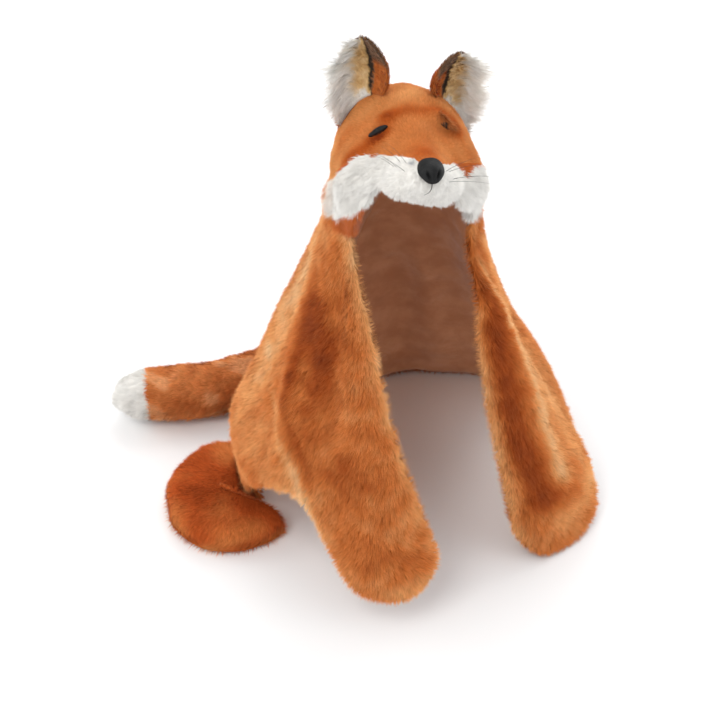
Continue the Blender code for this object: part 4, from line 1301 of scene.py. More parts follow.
@dataclass
class Hood:
    """The padded head: a bridge from nose to nape, two sides, two cheeks and the muzzle."""

    form: HoodForm = field(default_factory=HoodForm)
    backing: float = 0.0040
    inner_lift: float = 0.0036
    rim_roll: float = 0.25
    nose_at: tuple[float, float] = (0.8, -54.4)
    bridge_edge: Table = (
        (5, -50), (10, -40), (12, -28), (13, -14), (18, 6), (22, 32), (21, 62), (17, 90),
        (13, 111.24))
    bridge_tip: tuple[float, float] = (0, -56)
    muzzle_top: Table = ((5, -50), (14, -46.5), (24, -41.5), (34, -37))
    cheek_top: Table = (
        (34, -37), (52, -29), (74, -21), (92, -24), (106.5, -34.66))
    lip: Table = ((34, -37), (35, -48), (31, -59))
    muzzle_edge: Table = ((0, -72), (10, -70.5), (20, -67), (31, -59))
    face_edge: Table = ((31, -59), (50, -65), (75, -63.5), (97.96, -54.3))
    neck_front: float = 61.0
    neck_cheek: float = 72.0
    eyes: Pair[tuple[float, float]] = Pair((-23.2, -20.6), (28.0, -20.0))
    # Painted highlight on the crown, and painted shade in the eye hollows, brow creases and other
    # hollows of the head.
    lights: tuple[Blotch, ...] = (
        Blotch(0, 6, 36, 16, 0.17), Blotch(-24, -24, 10, 3.6, -0.50),
        Blotch(-15, -14, 6, 4.5, -0.30), Blotch(6, -13, 20, 5, -0.30),
        Blotch(35, -17, 4.5, 8.5, -0.42), Blotch(25, -9, 10, 5, -0.26),
        Blotch(0, -45, 11, 5, -0.22), Blotch(-46, -25, 18, 5, -0.26, -0.3))
    # Painted shadows beside the top of the nose, greyish on the white.
    nose_side_shadows: Blotch = Blotch(7.0, -50.2, 2.0, 1.7, -0.36)
    white_low: Pair[Table] = Pair(((41, 55, 70, 90, 105), (82, 93, 100, 106, 107)),
                                  ((31, 50, 65, 90), (90, 104, 111, 114)))
    white_high: Pair[Table] = Pair(
        ((0, 12, 24, 30.5, 34, 43, 53.5, 65, 76, 84, 92, 104),
         (-40, -41, -38.5, -38, -30.5, -29.5, -28.5, -24, -17, -4, 12, 24)),
        ((0, 12, 27, 35, 40, 46, 57, 75, 104), (-45, -48, -51, -55, -54, -44, -38, -28, -10)))
    orange_coat: Coat = Coat(density=1700000.0, width=0.00060, tuft=0.0045, pull=0.25, stray=9.0)
    white_coat: Coat = Coat(density=1600000.0, width=0.00065, tuft=0.0070, pull=0.40, stray=12.0)
    brows: Pair[tuple[float, ...]] = Pair((0.8, 4.5, 0.0080, 27), (3.0, 10.0, 0.0190, 19))

    def patch(self, low: Array, high: Array, start: Array, end: Array, shares: Array) -> Array:
        """A four-sided piece of the chart from its edges.

        Each point is the blend of the low and high edges, plus the blend of the start and end
        edges, less the blend of the four corners.
        """
        v = shares[:, None, None]
        u = np.linspace(0, 1, len(low))[None, :, None]
        across = (1 - v) * low[None] + v * high[None]
        lengthwise = (1 - u) * start[:, None] + u * end[:, None]
        corners = ((1 - u) * (1 - v) * low[0] + u * (1 - v) * low[-1]
                   + (1 - u) * v * high[0] + u * v * high[-1])
        return across + lengthwise - corners

    def neck(self, start: float, end: float, count: int) -> Array:
        """Chart points of the neck seam between two azimuths."""
        azimuth = np.radians(np.linspace(start, end, count))
        return self.form.neck_angle * np.stack([np.sin(azimuth), -np.cos(azimuth)], -1)

    def chart(self, part: HoodPart) -> Array:
        """Dense chart of one piece, for the wearer's left half."""
        rows = np.linspace(0, 1, 58) ** 1.25
        if part is HoodPart.BRIDGE:
            edge = along(self.bridge_edge, rows)
            t = np.linspace(-1, 1, 25)[:, None]
            tip = np.concatenate([5 * t, -50 + (self.bridge_tip[1] + 50) * (1 - np.abs(t))], 1)
            x = edge[-1, 0] * t
            nape = np.concatenate([x, np.sqrt(self.form.neck_angle ** 2 - x ** 2)], 1)
            return self.patch(tip, nape, edge * (-1, 1), edge, rows)
        if part is HoodPart.SIDE:
            columns = np.linspace(0, 1, 34)
            back = 180 - np.degrees(np.arcsin(self.bridge_edge[-1][0] / self.form.neck_angle))
            return self.patch(along(self.muzzle_top, columns), self.neck(back, self.neck_cheek, 34),
                              along(self.bridge_edge, rows), along(self.cheek_top, rows), rows)
        if part is HoodPart.CHEEK:
            lip = along(self.lip, np.linspace(0, 1, 22))
            return self.patch(lip, self.neck(self.neck_cheek, self.neck_front, 22),
                              along(self.cheek_top, rows), along(self.face_edge, rows), rows)
        rows = np.linspace(0, 1, 30)
        columns = np.linspace(0, 1, 40)
        middle = along(((5, -50), self.bridge_tip, self.muzzle_edge[0]), rows)
        return self.patch(along(self.muzzle_top, columns), along(self.muzzle_edge, columns), middle,
                          along(self.lip, rows), rows)

    def white_ends(self, side: Side | None, chart: Array, points: Array) -> Array:
        """1 inside the white of the face and 0 outside, in a soft uneven line.

        Below, the white ends at a polar angle that grows with the azimuth. Above, it ends along a
        line from beside the nose, with a notch at the lips' end, to the side of the head.
        """
        wander = 1.3 * ripple(points, 0.016, 57)
        across, polar = np.abs(chart[..., 0]), np.hypot(chart[..., 0], chart[..., 1])
        azimuth = np.degrees(np.arctan2(across, -chart[..., 1]))
        low = np.interp(azimuth, *self.white_low[side]) + wander - polar
        high = np.interp(across, *self.white_high[side]) + 0.6 * wander - chart[..., 1]
        return ease(low, -0.4, 0.4) * ease(high, -0.4, 0.4)

    def nap(self, part: HoodPart, side: Side | None, chart: Array, points: Array) -> Nap:
        """All fields of the pile over one piece of the head."""
        a, b = chart[..., 0], chart[..., 1]
        polar = np.hypot(a, b)
        away = unit(chart - np.array(self.nose_at))
        out_way = unit(chart + 1e-6)
        noise = ripple(points, 0.035, 51)
        if part in (HoodPart.BRIDGE, HoodPart.SIDE):
            way = away + 0.8 * out_way * ease(polar, 40, 80)[..., None]
            length = (0.0060 + 0.0035 * ease(polar, 50, 100) - 0.0016 * ease(-b, 30, 48)
                      + 0.0060 * ease(polar, 96, 110))
            # Tone lighter round the sides and back of the head, painted shade low by the neck, and
            # the painted highlight and shades of lights.
            light = (0.22 * ease(polar, 52, 78) * ease(b, -44, -20) * (1 - ease(polar, 90, 110))
                     - 0.05 * ease(polar, 96, 110) + sum(mark.at(a, b) for mark in self.lights))
            rise = 26.0
        elif part is HoodPart.CHEEK:
            way = 0.7 * away + 0.8 * out_way
            length = 0.0085 + 0.0055 * ease(polar, 55, 85)
            # Random tone, and painted shade low on the cheek by the neck.
            light = 0.06 * noise - 0.12 * ease(polar, 96, 110)
            rise = 34.0
        else:
            way = away + 0.25 * out_way
            near = np.hypot(a - self.nose_at[0], b - self.nose_at[1])
            length = 0.0045 + 0.0035 * ease(near, 8, 26)
            # Painted shadows beside the nose, and painted shade round the nose's edge.
            light = (self.nose_side_shadows.at(np.abs(a - self.nose_at[0]), b)
                     - 0.10 * np.exp(-((near - 5.0) / 2.0) ** 2))
            rise = 38.0
        region = np.clip(0.5 + light + 0.07 * noise, 0.02, 0.90)
        white = self.white_ends(side, chart, points)
        if part in (HoodPart.CHEEK, HoodPart.MUZZLE):
            region = region * white + (1 - white)
        elif part is HoodPart.SIDE and side is Side.RIGHT:
            white = white * ease(np.abs(a), 60, 66)
            region = region * (1 - white) + white
            length = length + 0.009 * white
            rise = rise + 14 * white
        length = length * (0.9 + 0.1 * ripple(points, 0.03, 53))
        flow = self.form.step(chart, way)
        out = normals(points, self.form.centre)
        return Nap(points, out, swung(flow, out, 14 * ripple(points, 0.05, 54)), length, rise,
                   region)

    def brow(self, side: Side) -> Nap:
        """The pile above an eye, combed down over it: past its rim on the wearer's right, and
        right over it, long and darkened with painted shade, on the left, where the eye lies in a
        fold; on the right too its middle is darkened with painted shade."""
        a, b = self.eyes[side]
        right = side is Side.RIGHT
        near, far, length, rise = self.brows[side]
        across, lengthwise = np.meshgrid(np.linspace(a - 9, a + 9, 19),
                                         np.linspace(b + near, b + far, 8))
        chart = np.stack([across, lengthwise], -1)
        points = self.form.point(chart, -self.backing)
        flow = self.form.step(chart, np.array((0.0, -1.0)) + 0.02 * (chart - (a, b)) * (1, 0))
        fade = np.exp(-((across - a) / (6.0 if right else 7.5)) ** 2)
        fade = fade * (1 - ease(lengthwise, b + 0.55 * far, b + far + 0.5))
        # Painted shade over the eye: darker over its middle on the right, darker towards the outer
        # side on the left.
        tone = 0.54 - 0.34 * fade if right else 0.46 - 0.16 * ease(across, a + 2, a + 8)
        return Nap(points, normals(points, self.form.centre), flow, length * (0.5 + 0.5 * fade),
                   rise, tone, fade * (0.45 if right else 1.0))

    def build_part(self, part: HoodPart, side: Side | None, seed: int) -> None:
        """One padded piece and its pile.

        Args:
            part: Which piece.
            side: Which half, or None for the bridge.
            seed: Seed of the pile.
        """
        chart = self.form.askew(self.chart(part) * ((-1, 1) if side is Side.RIGHT else (1, 1)))
        lift = -self.backing * np.ones(chart.shape[:2])
        lift = lift + 0.0010 * ripple(self.form.point(chart, 0.0), 0.045, 55)
        outer = self.form.point(chart, lift)
        inner = self.form.point(chart, self.inner_lift, outside=False)
        wall = Wall(inner, outer, self.rim_roll)
        nap = self.nap(part, side, chart, outer)
        white = part in (HoodPart.CHEEK, HoodPart.MUZZLE)
        finish = WHITE if white else HEAD_ORANGE
        name = part.value + (f"_{side.value}" if side else "")
        shell = wall.build(f"{name}_pad", finish.material(f"{name}_pad", True), nap.region)
        pile = Pile(self.white_coat if white else self.orange_coat, seed)
        pile.grow(nap)
        if part is HoodPart.SIDE and side:
            pile.grow(self.brow(side), 1.0 if side is Side.RIGHT else 3.0)
        rows, columns = outer.shape[:2]
        keep = np.zeros(len(wall.rim))
        if part is HoodPart.CHEEK:
            keep[columns:columns + rows - 1] = 1
        if part is HoodPart.MUZZLE:
            keep[columns + rows - 2:columns + rows + columns - 2] = 1
        if keep.any():
            pile.grow(wall.edge_nap(nap, keep), 0.9)
        furred(shell, pile, name, finish)

    def build_lining(self) -> None:
        """The thin bowl inside the hood, open below and round the face."""
        rows, columns = 34, 96
        azimuth = np.linspace(-180, 180, columns, endpoint=False)
        share = np.linspace(0, 1, 12)
        edge = np.concatenate([along(self.muzzle_edge, share), along(self.face_edge, share)[1:]])
        reach = np.interp(np.abs(azimuth), np.degrees(np.arctan2(edge[:, 0], -edge[:, 1])),
                          np.hypot(edge[:, 0], edge[:, 1]))
        reach = np.where(np.abs(azimuth) >= self.neck_front, self.form.neck_angle, reach) - 0.9
        polar = np.linspace(0.0, 1, rows)[:, None] ** 0.9 * reach
        turn = np.radians(azimuth)
        chart = self.form.askew(np.stack([polar * np.sin(turn), -polar * np.cos(turn)], -1))
        place = self.form.point(chart, 0.0, outside=False)
        slack = 0.0009 * ripple(place, 0.03, 61) * ease(polar, 10, 40)
        inner = self.form.point(chart, slack * 0.5 - 0.0004, outside=False)
        outer = self.form.point(chart, slack * 0.5 + 0.0008, outside=False)
        bowl = capped(np.concatenate([inner[1:], outer[:0:-1]]),
                      np.stack([inner[0, 0], outer[0, 0]]))
        lining = mesh_object("lining_hood_cloth", *bowl,
                             LiningFinish().material("lining_hood_cloth"))
        metres = np.stack([turn * 0.08 + 0 * polar, np.radians(polar) * 0.09], -1)[1:]
        every = np.concatenate([metres, metres[::-1]]).reshape(-1, 2)
        cloth_uv(lining, np.concatenate([every, [(0.0, 0.0)] * 2]))
        dress(lining, ["lining_hood"])

    def build(self) -> None:
        """All pieces of the head."""
        self.build_part(HoodPart.BRIDGE, None, 300)
        for seed, side in enumerate(Side):
            for part in (HoodPart.SIDE, HoodPart.CHEEK, HoodPart.MUZZLE):
                self.build_part(part, side, 310 + 10 * seed + len(part.value))
        self.build_lining()


def dome(form: HoodForm, centre: Sequence[float], outline: Array, shares: Array,
         lifts: Array) -> tuple[Array, list[list[int]]]:
    """Points and faces of a closed dome on the hood: rings of an outline from below to the top.

    Each ring is centre + outline * share on the chart, lifted off the hood, and the first and
    last rings close on their middles.
    """
    chart = np.asarray(centre) + outline[None] * shares[:, None, None]
    return capped(form.point(chart, lifts))


@dataclass
class Face:
    """Nose, eyes, the line under the nose, and the whiskers."""

    hood: Hood
    nose_half: tuple[float, float] = (6.0, 5.0)
    nose_rise: float = 0.0125
    eye_half: tuple[float, float] = (7.2, 1.5)
    eye_slant: float = 1.0
    sunk: Pair[float] = Pair(0.0034, 0.0054)

    def build_nose(self) -> None:
        """A crowned pad, narrower below, with a groove down the middle and two nostrils.

        The outline is a squared circle, |cos|**0.8 by |sin|**0.8, drawn in below. Its height is a
        quarter-round of the share, less the nostrils' two slanting troughs.
        """
        turn = np.linspace(0, 2 * np.pi, 72, endpoint=False)
        across = np.sign(np.cos(turn)) * np.abs(np.cos(turn)) ** 0.8
        lengthwise = np.sign(np.sin(turn)) * np.abs(np.sin(turn)) ** 0.8
        narrow = 1 - 0.30 * ease(-lengthwise, 0.0, 1.0)
        outline = np.stack([self.nose_half[0] * across * narrow,
                            self.nose_half[1] * lengthwise], -1)
        shares = np.concatenate([[0.6, 0.97, 1.01, 1.03, 1.02], np.linspace(0.985, 0.05, 24)])
        heights = np.concatenate([[0.06, 0.06, 0.16, 0.34, 0.50],
                                  np.sqrt(1 - (np.linspace(0.985, 0.05, 24) * 0.86) ** 2) ** 0.9])
        x = outline[None, :, 0] * shares[:, None]
        y = outline[None, :, 1] * shares[:, None]
        top = ease(shares, 1.03, 0.9)[:, None] * (np.arange(len(shares)) > 4)[:, None]
        slit = np.exp(-(((np.abs(x) - 2.3 - 0.35 * (y + 1.5)) / 0.55) ** 2
                        + ((y + 1.9) / 1.5) ** 2))
        groove = np.exp(-(x / 0.35) ** 2) * ease(-y, -1.0, 2.0)
        lift = self.nose_rise * heights[:, None] - top * (0.0040 * slit + 0.0010 * groove)
        nose = mesh_object("nose_pad", *dome(self.hood.form, self.hood.nose_at, outline, shares,
                                             lift), NoseFinish().material("nose_pad"))
        dress(nose, ["nose"])

    def build_eye(self, side: Side) -> None:
        """A closed eye: a narrow slanting dome of dark satin stitches."""
        slant = np.radians(self.eye_slant)
        turn = np.linspace(0, 2 * np.pi, 64, endpoint=False)
        long, short = self.eye_half[0] * np.cos(turn), self.eye_half[1] * np.sin(turn)
        outline = np.stack([side.sign * (long * np.cos(slant) - short * np.sin(slant)),
                            long * np.sin(slant) + short * np.cos(slant)], -1)
        shares = np.array((0.4, 1.0, 1.02, 0.95, 0.8, 0.6, 0.4, 0.2))
        rows = 0.0050 + 0.00035 * np.cos(long * 9.0)
        heights = np.array((0.05, 0.05, 0.35, 0.70, 0.88, 0.96, 1.0, 1.0))
        patch = dome(self.hood.form, self.hood.eyes[side], outline, shares,
                     heights[:, None] * rows[None, :] - self.sunk[side])
        finish = ThreadFinish((0.003, 0.0025, 0.0025), (0.012, 0.010, 0.009), 0.5)
        name = f"eye_{side.value}"
        eye = mesh_object(f"{name}_stitched", *patch, finish.material(f"{name}_stitched"))
        dress(eye, [name])

    def threads(self, name: str, paths: Sequence[Array], radius: float, taper: float,
                finish: ThreadFinish) -> bpy.types.Object:
        """Thin round threads along paths, as one mesh.

        Each ring is five points round the path, radius * (1 - taper * share) from it, in the
        plane of two directions square to the path.
        """
        all_points, all_faces, first = [], [], 0
        for path in paths:
            run = unit(np.gradient(path, axis=0))
            one = unit(np.cross(run, np.array((0.3, 0.2, 1.0))))
            size = (radius * (1 - taper * np.linspace(0, 1, len(path))))[:, None, None]
            ring = circles(5, one, np.cross(run, one)) * size
            all_points.append((path[:, None] + ring).reshape(-1, 3))
            all_faces += quads(len(path), 5, first, True).tolist()
            all_faces += [[first + k for k in range(5)],
                          [first + (len(path) - 1) * 5 + k for k in range(5)]]
            first += len(path) * 5
        thing = mesh_object(name, np.concatenate(all_points), all_faces, finish.material(name))
        return dress(thing)

    def build_whiskers(self) -> None:
        """Five drawn whiskers a side, from the lips out and a little down."""
        starts = ((9.5, -51.5), (12.5, -50.5), (15.0, -53.0), (11.0, -55.5), (17.0, -52.0))
        rises = Pair((1.5, 1.3, 1.15, 0.9, 1.0), (0.55, 0.30, 0.16, -0.05, 0.05))
        form, paths = self.hood.form, []
        rng = np.random.default_rng(77)
        for side in Side:
            for (a, b), rise in zip(starts, rises[side]):
                root = form.point(form.askew(np.array((side.sign * a, b))), -0.003)
                out = unit(root - form.centre)
                way = unit(np.array((side.sign * 0.9, 0.10, rise)) + out * 0.40)
                t = np.linspace(0, 1, 14)[:, None]
                length = 0.038 + 0.012 * rng.random()
                sag = np.array((0.0, 0.006, -0.010 - 0.006 * rng.random()))
                paths.append(root + way * length * t + sag * t ** 2)
        self.threads("whiskers", paths, 0.00026, 0.8,
                     ThreadFinish((0.02, 0.016, 0.013), (0.09, 0.075, 0.06), 0.35))

    def build_lip_line(self) -> None:
        """The thread that draws the lip up under the nose, and hooks to one side at its end."""
        chart = along(((0.6, -58.6), (0.6, -60.5), (0.2, -62.0), (-1.0, -63.4), (-3.0, -64.2)),
                      np.linspace(0, 1, 22))
        path = self.hood.form.point(chart, 0.0002)
        self.threads("lip_line", [path], 0.00070, 0.75,
                     ThreadFinish((0.02, 0.017, 0.015), (0.07, 0.06, 0.05), 0.6))

    def build(self) -> None:
        """The whole face."""
        self.build_nose()
        for side in Side:
            self.build_eye(side)
        self.build_lip_line()
        self.build_whiskers()


# Ears


@dataclass(frozen=True)
class EarForm:
    """One ear: foot on the hood, direction upwards, direction it is hollow towards, height."""

    base: Triple
    up: Triple
    faces: Triple
    height: float


@dataclass
class Ears:
    """Two cupped ears, each a fur back and a short golden inside with a long white fringe."""

    hood: Hood
    forms: Pair[EarForm] = Pair(
        EarForm((-0.046, 0.028, 0.009), (0.02, -0.03, 1.0), (-0.44, -0.90, 0.0), 0.084),
        EarForm((0.061, 0.028, -0.003), (0.05, -0.10, 1.0), (0.44, -0.90, 0.0), 0.067))
    flat: tuple[float, float] = (0.085, 0.130)
    area: float = 0.0060
    stripe_from: Pair[float] = Pair(0.08, -0.10)
    fringe: Pair[float] = Pair(0.032, 0.038)
    widths: Table = (
        (0, 0.025), (0.3, 0.030), (0.55, 0.029), (0.8, 0.020), (0.93, 0.011), (1, 0.005))
    cups: Table = ((0, 66), (0.4, 60), (0.8, 46), (1, 38))
    back_coat: Coat = Coat(density=1500000.0, width=0.0006, tuft=0.0045, pull=0.3)
    inner_coat: Coat = Coat(density=2000000.0, width=0.0006, tuft=0.006, pull=0.5, stray=9)

    def point(self, ear: EarForm, across: Array, up: Array, lift: Array | float) -> Array:
        """A point of the cupped sheet.

        Each level is an arc as wide as widths says, turning through cups degrees to each side,
        hollow in front. The foot drops straight down onto the hood, less and less up the ear.
        """
        rise = unit(np.array(ear.up))
        faces = np.array(ear.faces)
        faces = unit(faces - rise * np.dot(faces, rise))
        side = np.cross(rise, faces)
        cup = np.radians(smooth(up, *zip(*self.cups)))
        radius = smooth(up, *zip(*self.widths)) / np.sin(cup)
        turn = across * cup
        lift = np.broadcast_to(lift, up.shape)

        def level(height: Array) -> Array:
            """The arc at one height along the ear."""
            out = (np.sin(turn) * (radius + lift))[..., None] * side
            back = (np.cos(turn) * (radius + lift) - radius * np.cos(cup))[..., None] * faces
            return np.array(ear.base) + height[..., None] * rise + out - back

        def above(shift: Array) -> Array:
            """Whether the foot, shifted up, is clear of the hood."""
            chart, r = self.hood.form.to_chart(foot + shift[..., None] * rise)
            hood = self.hood.form.point(chart, 0.0) - self.hood.form.centre
            return r > np.linalg.norm(hood, axis=-1) - 0.002

        foot = level(np.zeros_like(up))
        drop = first_outside(above, up.shape, -0.08, 0.05)
        return level(up * ear.height) + (drop * (1 - up) ** 2)[..., None] * rise

    def build_ear(self, side: Side, seed: int) -> None:
        """Both layers of one ear and their piles.

        Args:
            side: Which ear. Its inner edge is the one nearer the crown.
            seed: Seed of the piles.
        """
        ear = self.forms[side]
        across, up = np.meshgrid(np.linspace(-1, 1, 30), np.linspace(0, 1, 34) ** 0.9)
        inner_edge = -side.sign * across
        rim = np.minimum(ease(1 - np.abs(across), 0, 0.2), ease(1 - up, 0, 0.1))
        middle = self.point(ear, across, up, -0.0003)
        axis = np.array(ear.base) + np.array(ear.faces) * 0.05
        rise = unit(np.array(ear.up))
        over = self.point(ear, across, up + 0.01, 0.0) - self.point(ear, across, up - 0.01, 0.0)
        apart = self.point(ear, across + 0.02, up, 0.0) - self.point(ear, across - 0.02, up, 0.0)
        over, apart = unit(over), unit(apart)
        back_face = self.point(ear, across, up, 0.0032 * (0.4 + 0.6 * rim))
        wall = Wall(middle, back_face)
        out = normals(back_face, axis + rise * 0.05)
        tip_dark = ease(up, 0.62, 0.86)
        region = np.clip(0.74 - 0.55 * tip_dark + 0.08 * ripple(back_face, 0.02, 71)
                         - 0.25 * ease(inner_edge, 0.7, 1.0) * ease(up, 0.3, 0.6), 0.02, 0.98)
        fan = unit(over + apart * (0.35 * across)[..., None])
        nap = Nap(back_face, out, fan, 0.0065 + 0.001 * tip_dark, 24.0, region)
        self.build_layer(f"ear_back_{side.value}", wall, nap, EAR_BACK, Pile(self.back_coat, seed),
                         1.2)

        front_face = self.point(ear, across, up, -0.0006 - 0.0020 * (0.4 + 0.6 * rim))
        wall = Wall(self.point(ear, across, up, -0.0005), front_face)
        out = -normals(front_face, axis + rise * 0.05)
        out = out if ((axis + rise * 0.05 - front_face) * out).sum() > 0 else -out
        wander = inner_edge + 0.05 * ripple(front_face, 0.018, 74)
        first = self.stripe_from[side]
        stripe = ease(wander, first, first + 0.10) * ease(up, 0.0, 0.12)
        lip = ease(wander, first + 0.18, first + 0.30)
        fringe = ease(-wander, 0.20 - first, 0.68 - first)
        low_white = 1 - ease(up, 0.04, 0.24)
        region = (0.46 + 0.10 * ripple(front_face, 0.015, 72)
                  + 0.42 * np.maximum(fringe, 0.8 * low_white))
        region = region * (1 - stripe) + 0.19 * stripe
        region = region * (1 - lip) + (0.02 + 0.10 * ease(up, 0.45, 0.75)) * lip
        sweep = unit(over * (0.9 - 0.4 * fringe)[..., None]
                     + apart * (side.sign * (0.25 + 1.0 * fringe))[..., None])
        ragged = 0.75 + 0.45 * ripple(front_face, 0.022, 75)
        length = 0.0055 + (self.fringe[side] * fringe * ragged * ease(up, 0.0, 0.32)
                           * (1 - 0.55 * ease(up, 0.8, 1.0)))
        nap = Nap(front_face, out, sweep, length, 20 + 4 * fringe, np.clip(region, 0.02, 0.98))
        self.build_layer(f"ear_inner_{side.value}", wall, nap, INNER_EAR,
                         Pile(self.inner_coat, seed + 1), 1.6)

    def build_layer(self, name: str, wall: Wall, nap: Nap, finish: FurFinish, pile: Pile,
                    edge: float) -> None:
        """One layer of an ear, with pile on its face and on all its edges but the foot.

        Args:
            name: The node it replaces.
            wall: The layer's cloth.
            nap: The pile of its face.
            finish: Its fur.
            pile: The empty pile.
            edge: Density of the edges' pile, times the coat's own.
        """
        shell = wall.build(f"{name}_cloth", finish.material(f"{name}_cloth", True), nap.region)
        pile.grow(nap)
        keep = np.ones(len(wall.rim))
        keep[:nap.points.shape[1]] = 0
        pile.grow(wall.edge_nap(nap, keep), edge)
        fur = furred(shell, pile, name, finish)

    def build(self) -> None:
        """Both ears."""
        for seed, side in enumerate(Side):
            self.build_ear(side, 400 + 10 * seed)


# Tail and hind legs


def body_point(side: Array, ahead: Array, z: Array) -> Array:
    """A point given in the body's own directions, which are turned from the head's."""
    turn = np.radians(BODY_TURN)
    return np.stack(np.broadcast_arrays(side * np.cos(turn) + ahead * np.sin(turn),
                                        side * np.sin(turn) - ahead * np.cos(turn), z), -1)


def limb_grid(rings: Array, centre: Array, backing: float) -> tuple[Array, Array]:
    """The backing of a stuffed limb, below its pile.

    Args:
        rings: Its rings at the pile's height, each once round.
        centre: A place inside it, or one inside each ring.
        backing: Depth of the backing under the rings.

    Returns:
        The rings with their first point again at the end, set in along the normals, and the
        normals, which point away from the centre on the whole.
    """
    closed = np.concatenate([rings, rings[:, :1]], 1)
    out = unit(np.cross(np.gradient(closed, axis=0), np.gradient(closed, axis=1)))
    out[:, 0] = out[:, -1] = unit(out[:, 0] + out[:, -1])
    out = out * np.sign((out * (closed - centre)).sum())
    return closed - out * backing, out


def limb_shell(name: str, points: Array, tone: Array, finish: FurFinish) -> bpy.types.Object:
    """The closed pad of a stuffed limb, from its closed grid, with the region of each point."""
    shell = mesh_object(f"{name}_pad", *capped(points[:, :-1]),
                        finish.material(f"{name}_pad", True))
    paint_shell(shell, np.append(tone[:, :-1].ravel(), (0.5, 0.5)))
    return shell


@dataclass
class Tail:
    """The stuffed tail, lying on the floor, and its white tip."""

    cape: Cape
    stations: Table = (
        (0.000, -0.210, 0.040, 0.030), (-0.010, -0.238, 0.040, 0.036),
        (-0.050, -0.252, 0.040, 0.0385), (-0.110, -0.246, 0.040, 0.0395),
        (-0.165, -0.246, 0.041, 0.040), (-0.215, -0.258, 0.042, 0.041),
        (-0.252, -0.272, 0.041, 0.039), (-0.284, -0.284, 0.037, 0.030),
        (-0.302, -0.291, 0.030, 0.010))
    tip_from: float = 0.76
    clear: float = 0.0015
    backing: float = 0.0045
    coat: Coat = Coat(density=1150000.0, tuft=0.0070, pull=0.40, stray=12)

    def rings(self, shares: Array, around: int) -> tuple[Array, Array]:
        """Round rings across the limb, drawn up where they would lie below the floor.

        Returns:
            The rings' points, and the limb's direction at each ring.
        """
        x = np.linspace(0, 1, len(self.stations))
        side, ahead, height, radius = (smooth(shares, x, c) for c in np.array(self.stations).T)
        middle = body_point(side, ahead, height + FLOOR)
        run = unit(np.gradient(middle, axis=0))
        rise = unit(np.array((0.0, 0.0, 1.0)) - run[:, 2:] * run)
        rings = middle[:, None] + radius[:, None, None] * circles(around, np.cross(run, rise), rise)
        rings[..., 2] = np.maximum(rings[..., 2], FLOOR + 0.001)
        return rings, run

    def root(self, rings: Array) -> Array:
        """The first ring drawn along the limb until it lies just off the cape, and closed."""
        run = unit(rings[1].mean(0) - rings[0].mean(0))
        middle = rings[0].mean(0)
        start = np.stack([middle + (rings[0] - middle) * s for s in (0.05, 0.4, 0.75, 1.0)])

        def outside(shift: Array) -> Array:
            """Whether the root, shifted along the limb, is outside the cape."""
            at = start + shift[..., None] * run
            turned = np.degrees(np.arctan2(at[..., 0], -at[..., 1])) - BODY_TURN
            turned = (turned + 180) % 360 - 180
            wall = self.cape.form.face(turned, -at[..., 2], 0.006)
            return np.hypot(at[..., 0], at[..., 1]) > np.hypot(wall[..., 0], wall[..., 1])

        shift = first_outside(outside, start.shape[:2], -0.05, 0.05)
        return np.concatenate([start + shift[..., None] * run, rings[1:]])

    def build_part(self, name: str, rings: Array, flow: Array, finish: FurFinish, seed: int,
                   region: Callable[[Array], Array], length: float, rise: float) -> None:
        """A stuffed tube and its pile.

        Args:
            name: The node it replaces.
            rings: Its rings at the pile's height.
            flow: The limb's direction at each ring.
            finish: Its fur.
            seed: Seed of the pile.
            region: Gives the finish's region at points.
            length: Length of the pile.
            rise: The pile's angle off the backing.
        """
        points, out = limb_grid(rings, rings.mean(1, keepdims=True), self.backing)
        points[..., 2] = np.maximum(points[..., 2], FLOOR + self.clear)
        tone = region(points)
        shell = limb_shell(name, points, tone, finish)
        way = np.broadcast_to(flow[:, None], points.shape)
        way = unit(swung(way, out, 30 * ripple(points, 0.03, seed)))
        under = 0.35 + 0.65 * ease(out[..., 2], -0.95, -0.5)
        pile = Pile(self.coat, seed)
        pile.grow(Nap(points, out, way, length, rise + 10 * ripple(points, 0.025, seed + 1),
                      tone, under))
        furred(shell, pile, name, finish)

    def build(self) -> None:
        """The tail and its tip."""
        count = 70
        shares = np.concatenate([np.linspace(0, self.tip_from, count),
                                 np.linspace(self.tip_from + 0.0012, 0.995, 30)])
        rings, run = self.rings(shares, 56)
        first = self.root(rings[:count])
        flow = np.concatenate([run[:1]] * 3 + [run[:count]])

        def crushed_sheen(points: Array) -> Array:
            """Lighter patches where the pile is pressed flat, their sheen painted into the colour,
            darker patches, and a little random tone.
            """
            spots = ripple(points, 0.040, 81)
            return np.clip(0.42 + 0.42 * ease(spots, 0.25, 0.75) - 0.16 * ease(-spots, 0.3, 0.8)
                           + 0.08 * ripple(points, 0.014, 82), 0.02, 0.98)

        def clean(points: Array) -> Array:
            """White, a little uneven."""
            return np.clip(0.55 + 0.08 * ripple(points, 0.02, 83), 0, 1)

        self.build_part("tail", first, flow, TAIL_ORANGE, 500, crushed_sheen, 0.0115, 24)
        last, middle = rings[-1], rings[-1].mean(0)
        cap = np.stack([middle + (last - middle) * s + run[-1] * 0.004 * (1 - s * s)
                        for s in (0.82, 0.6, 0.35, 0.08)])
        tip, ahead = np.concatenate([rings[count:], cap]), np.concatenate([run[count:], run[-4:]])
        self.build_part("tail_tip", tip, ahead, WHITE, 510, clean, 0.0120, 30)


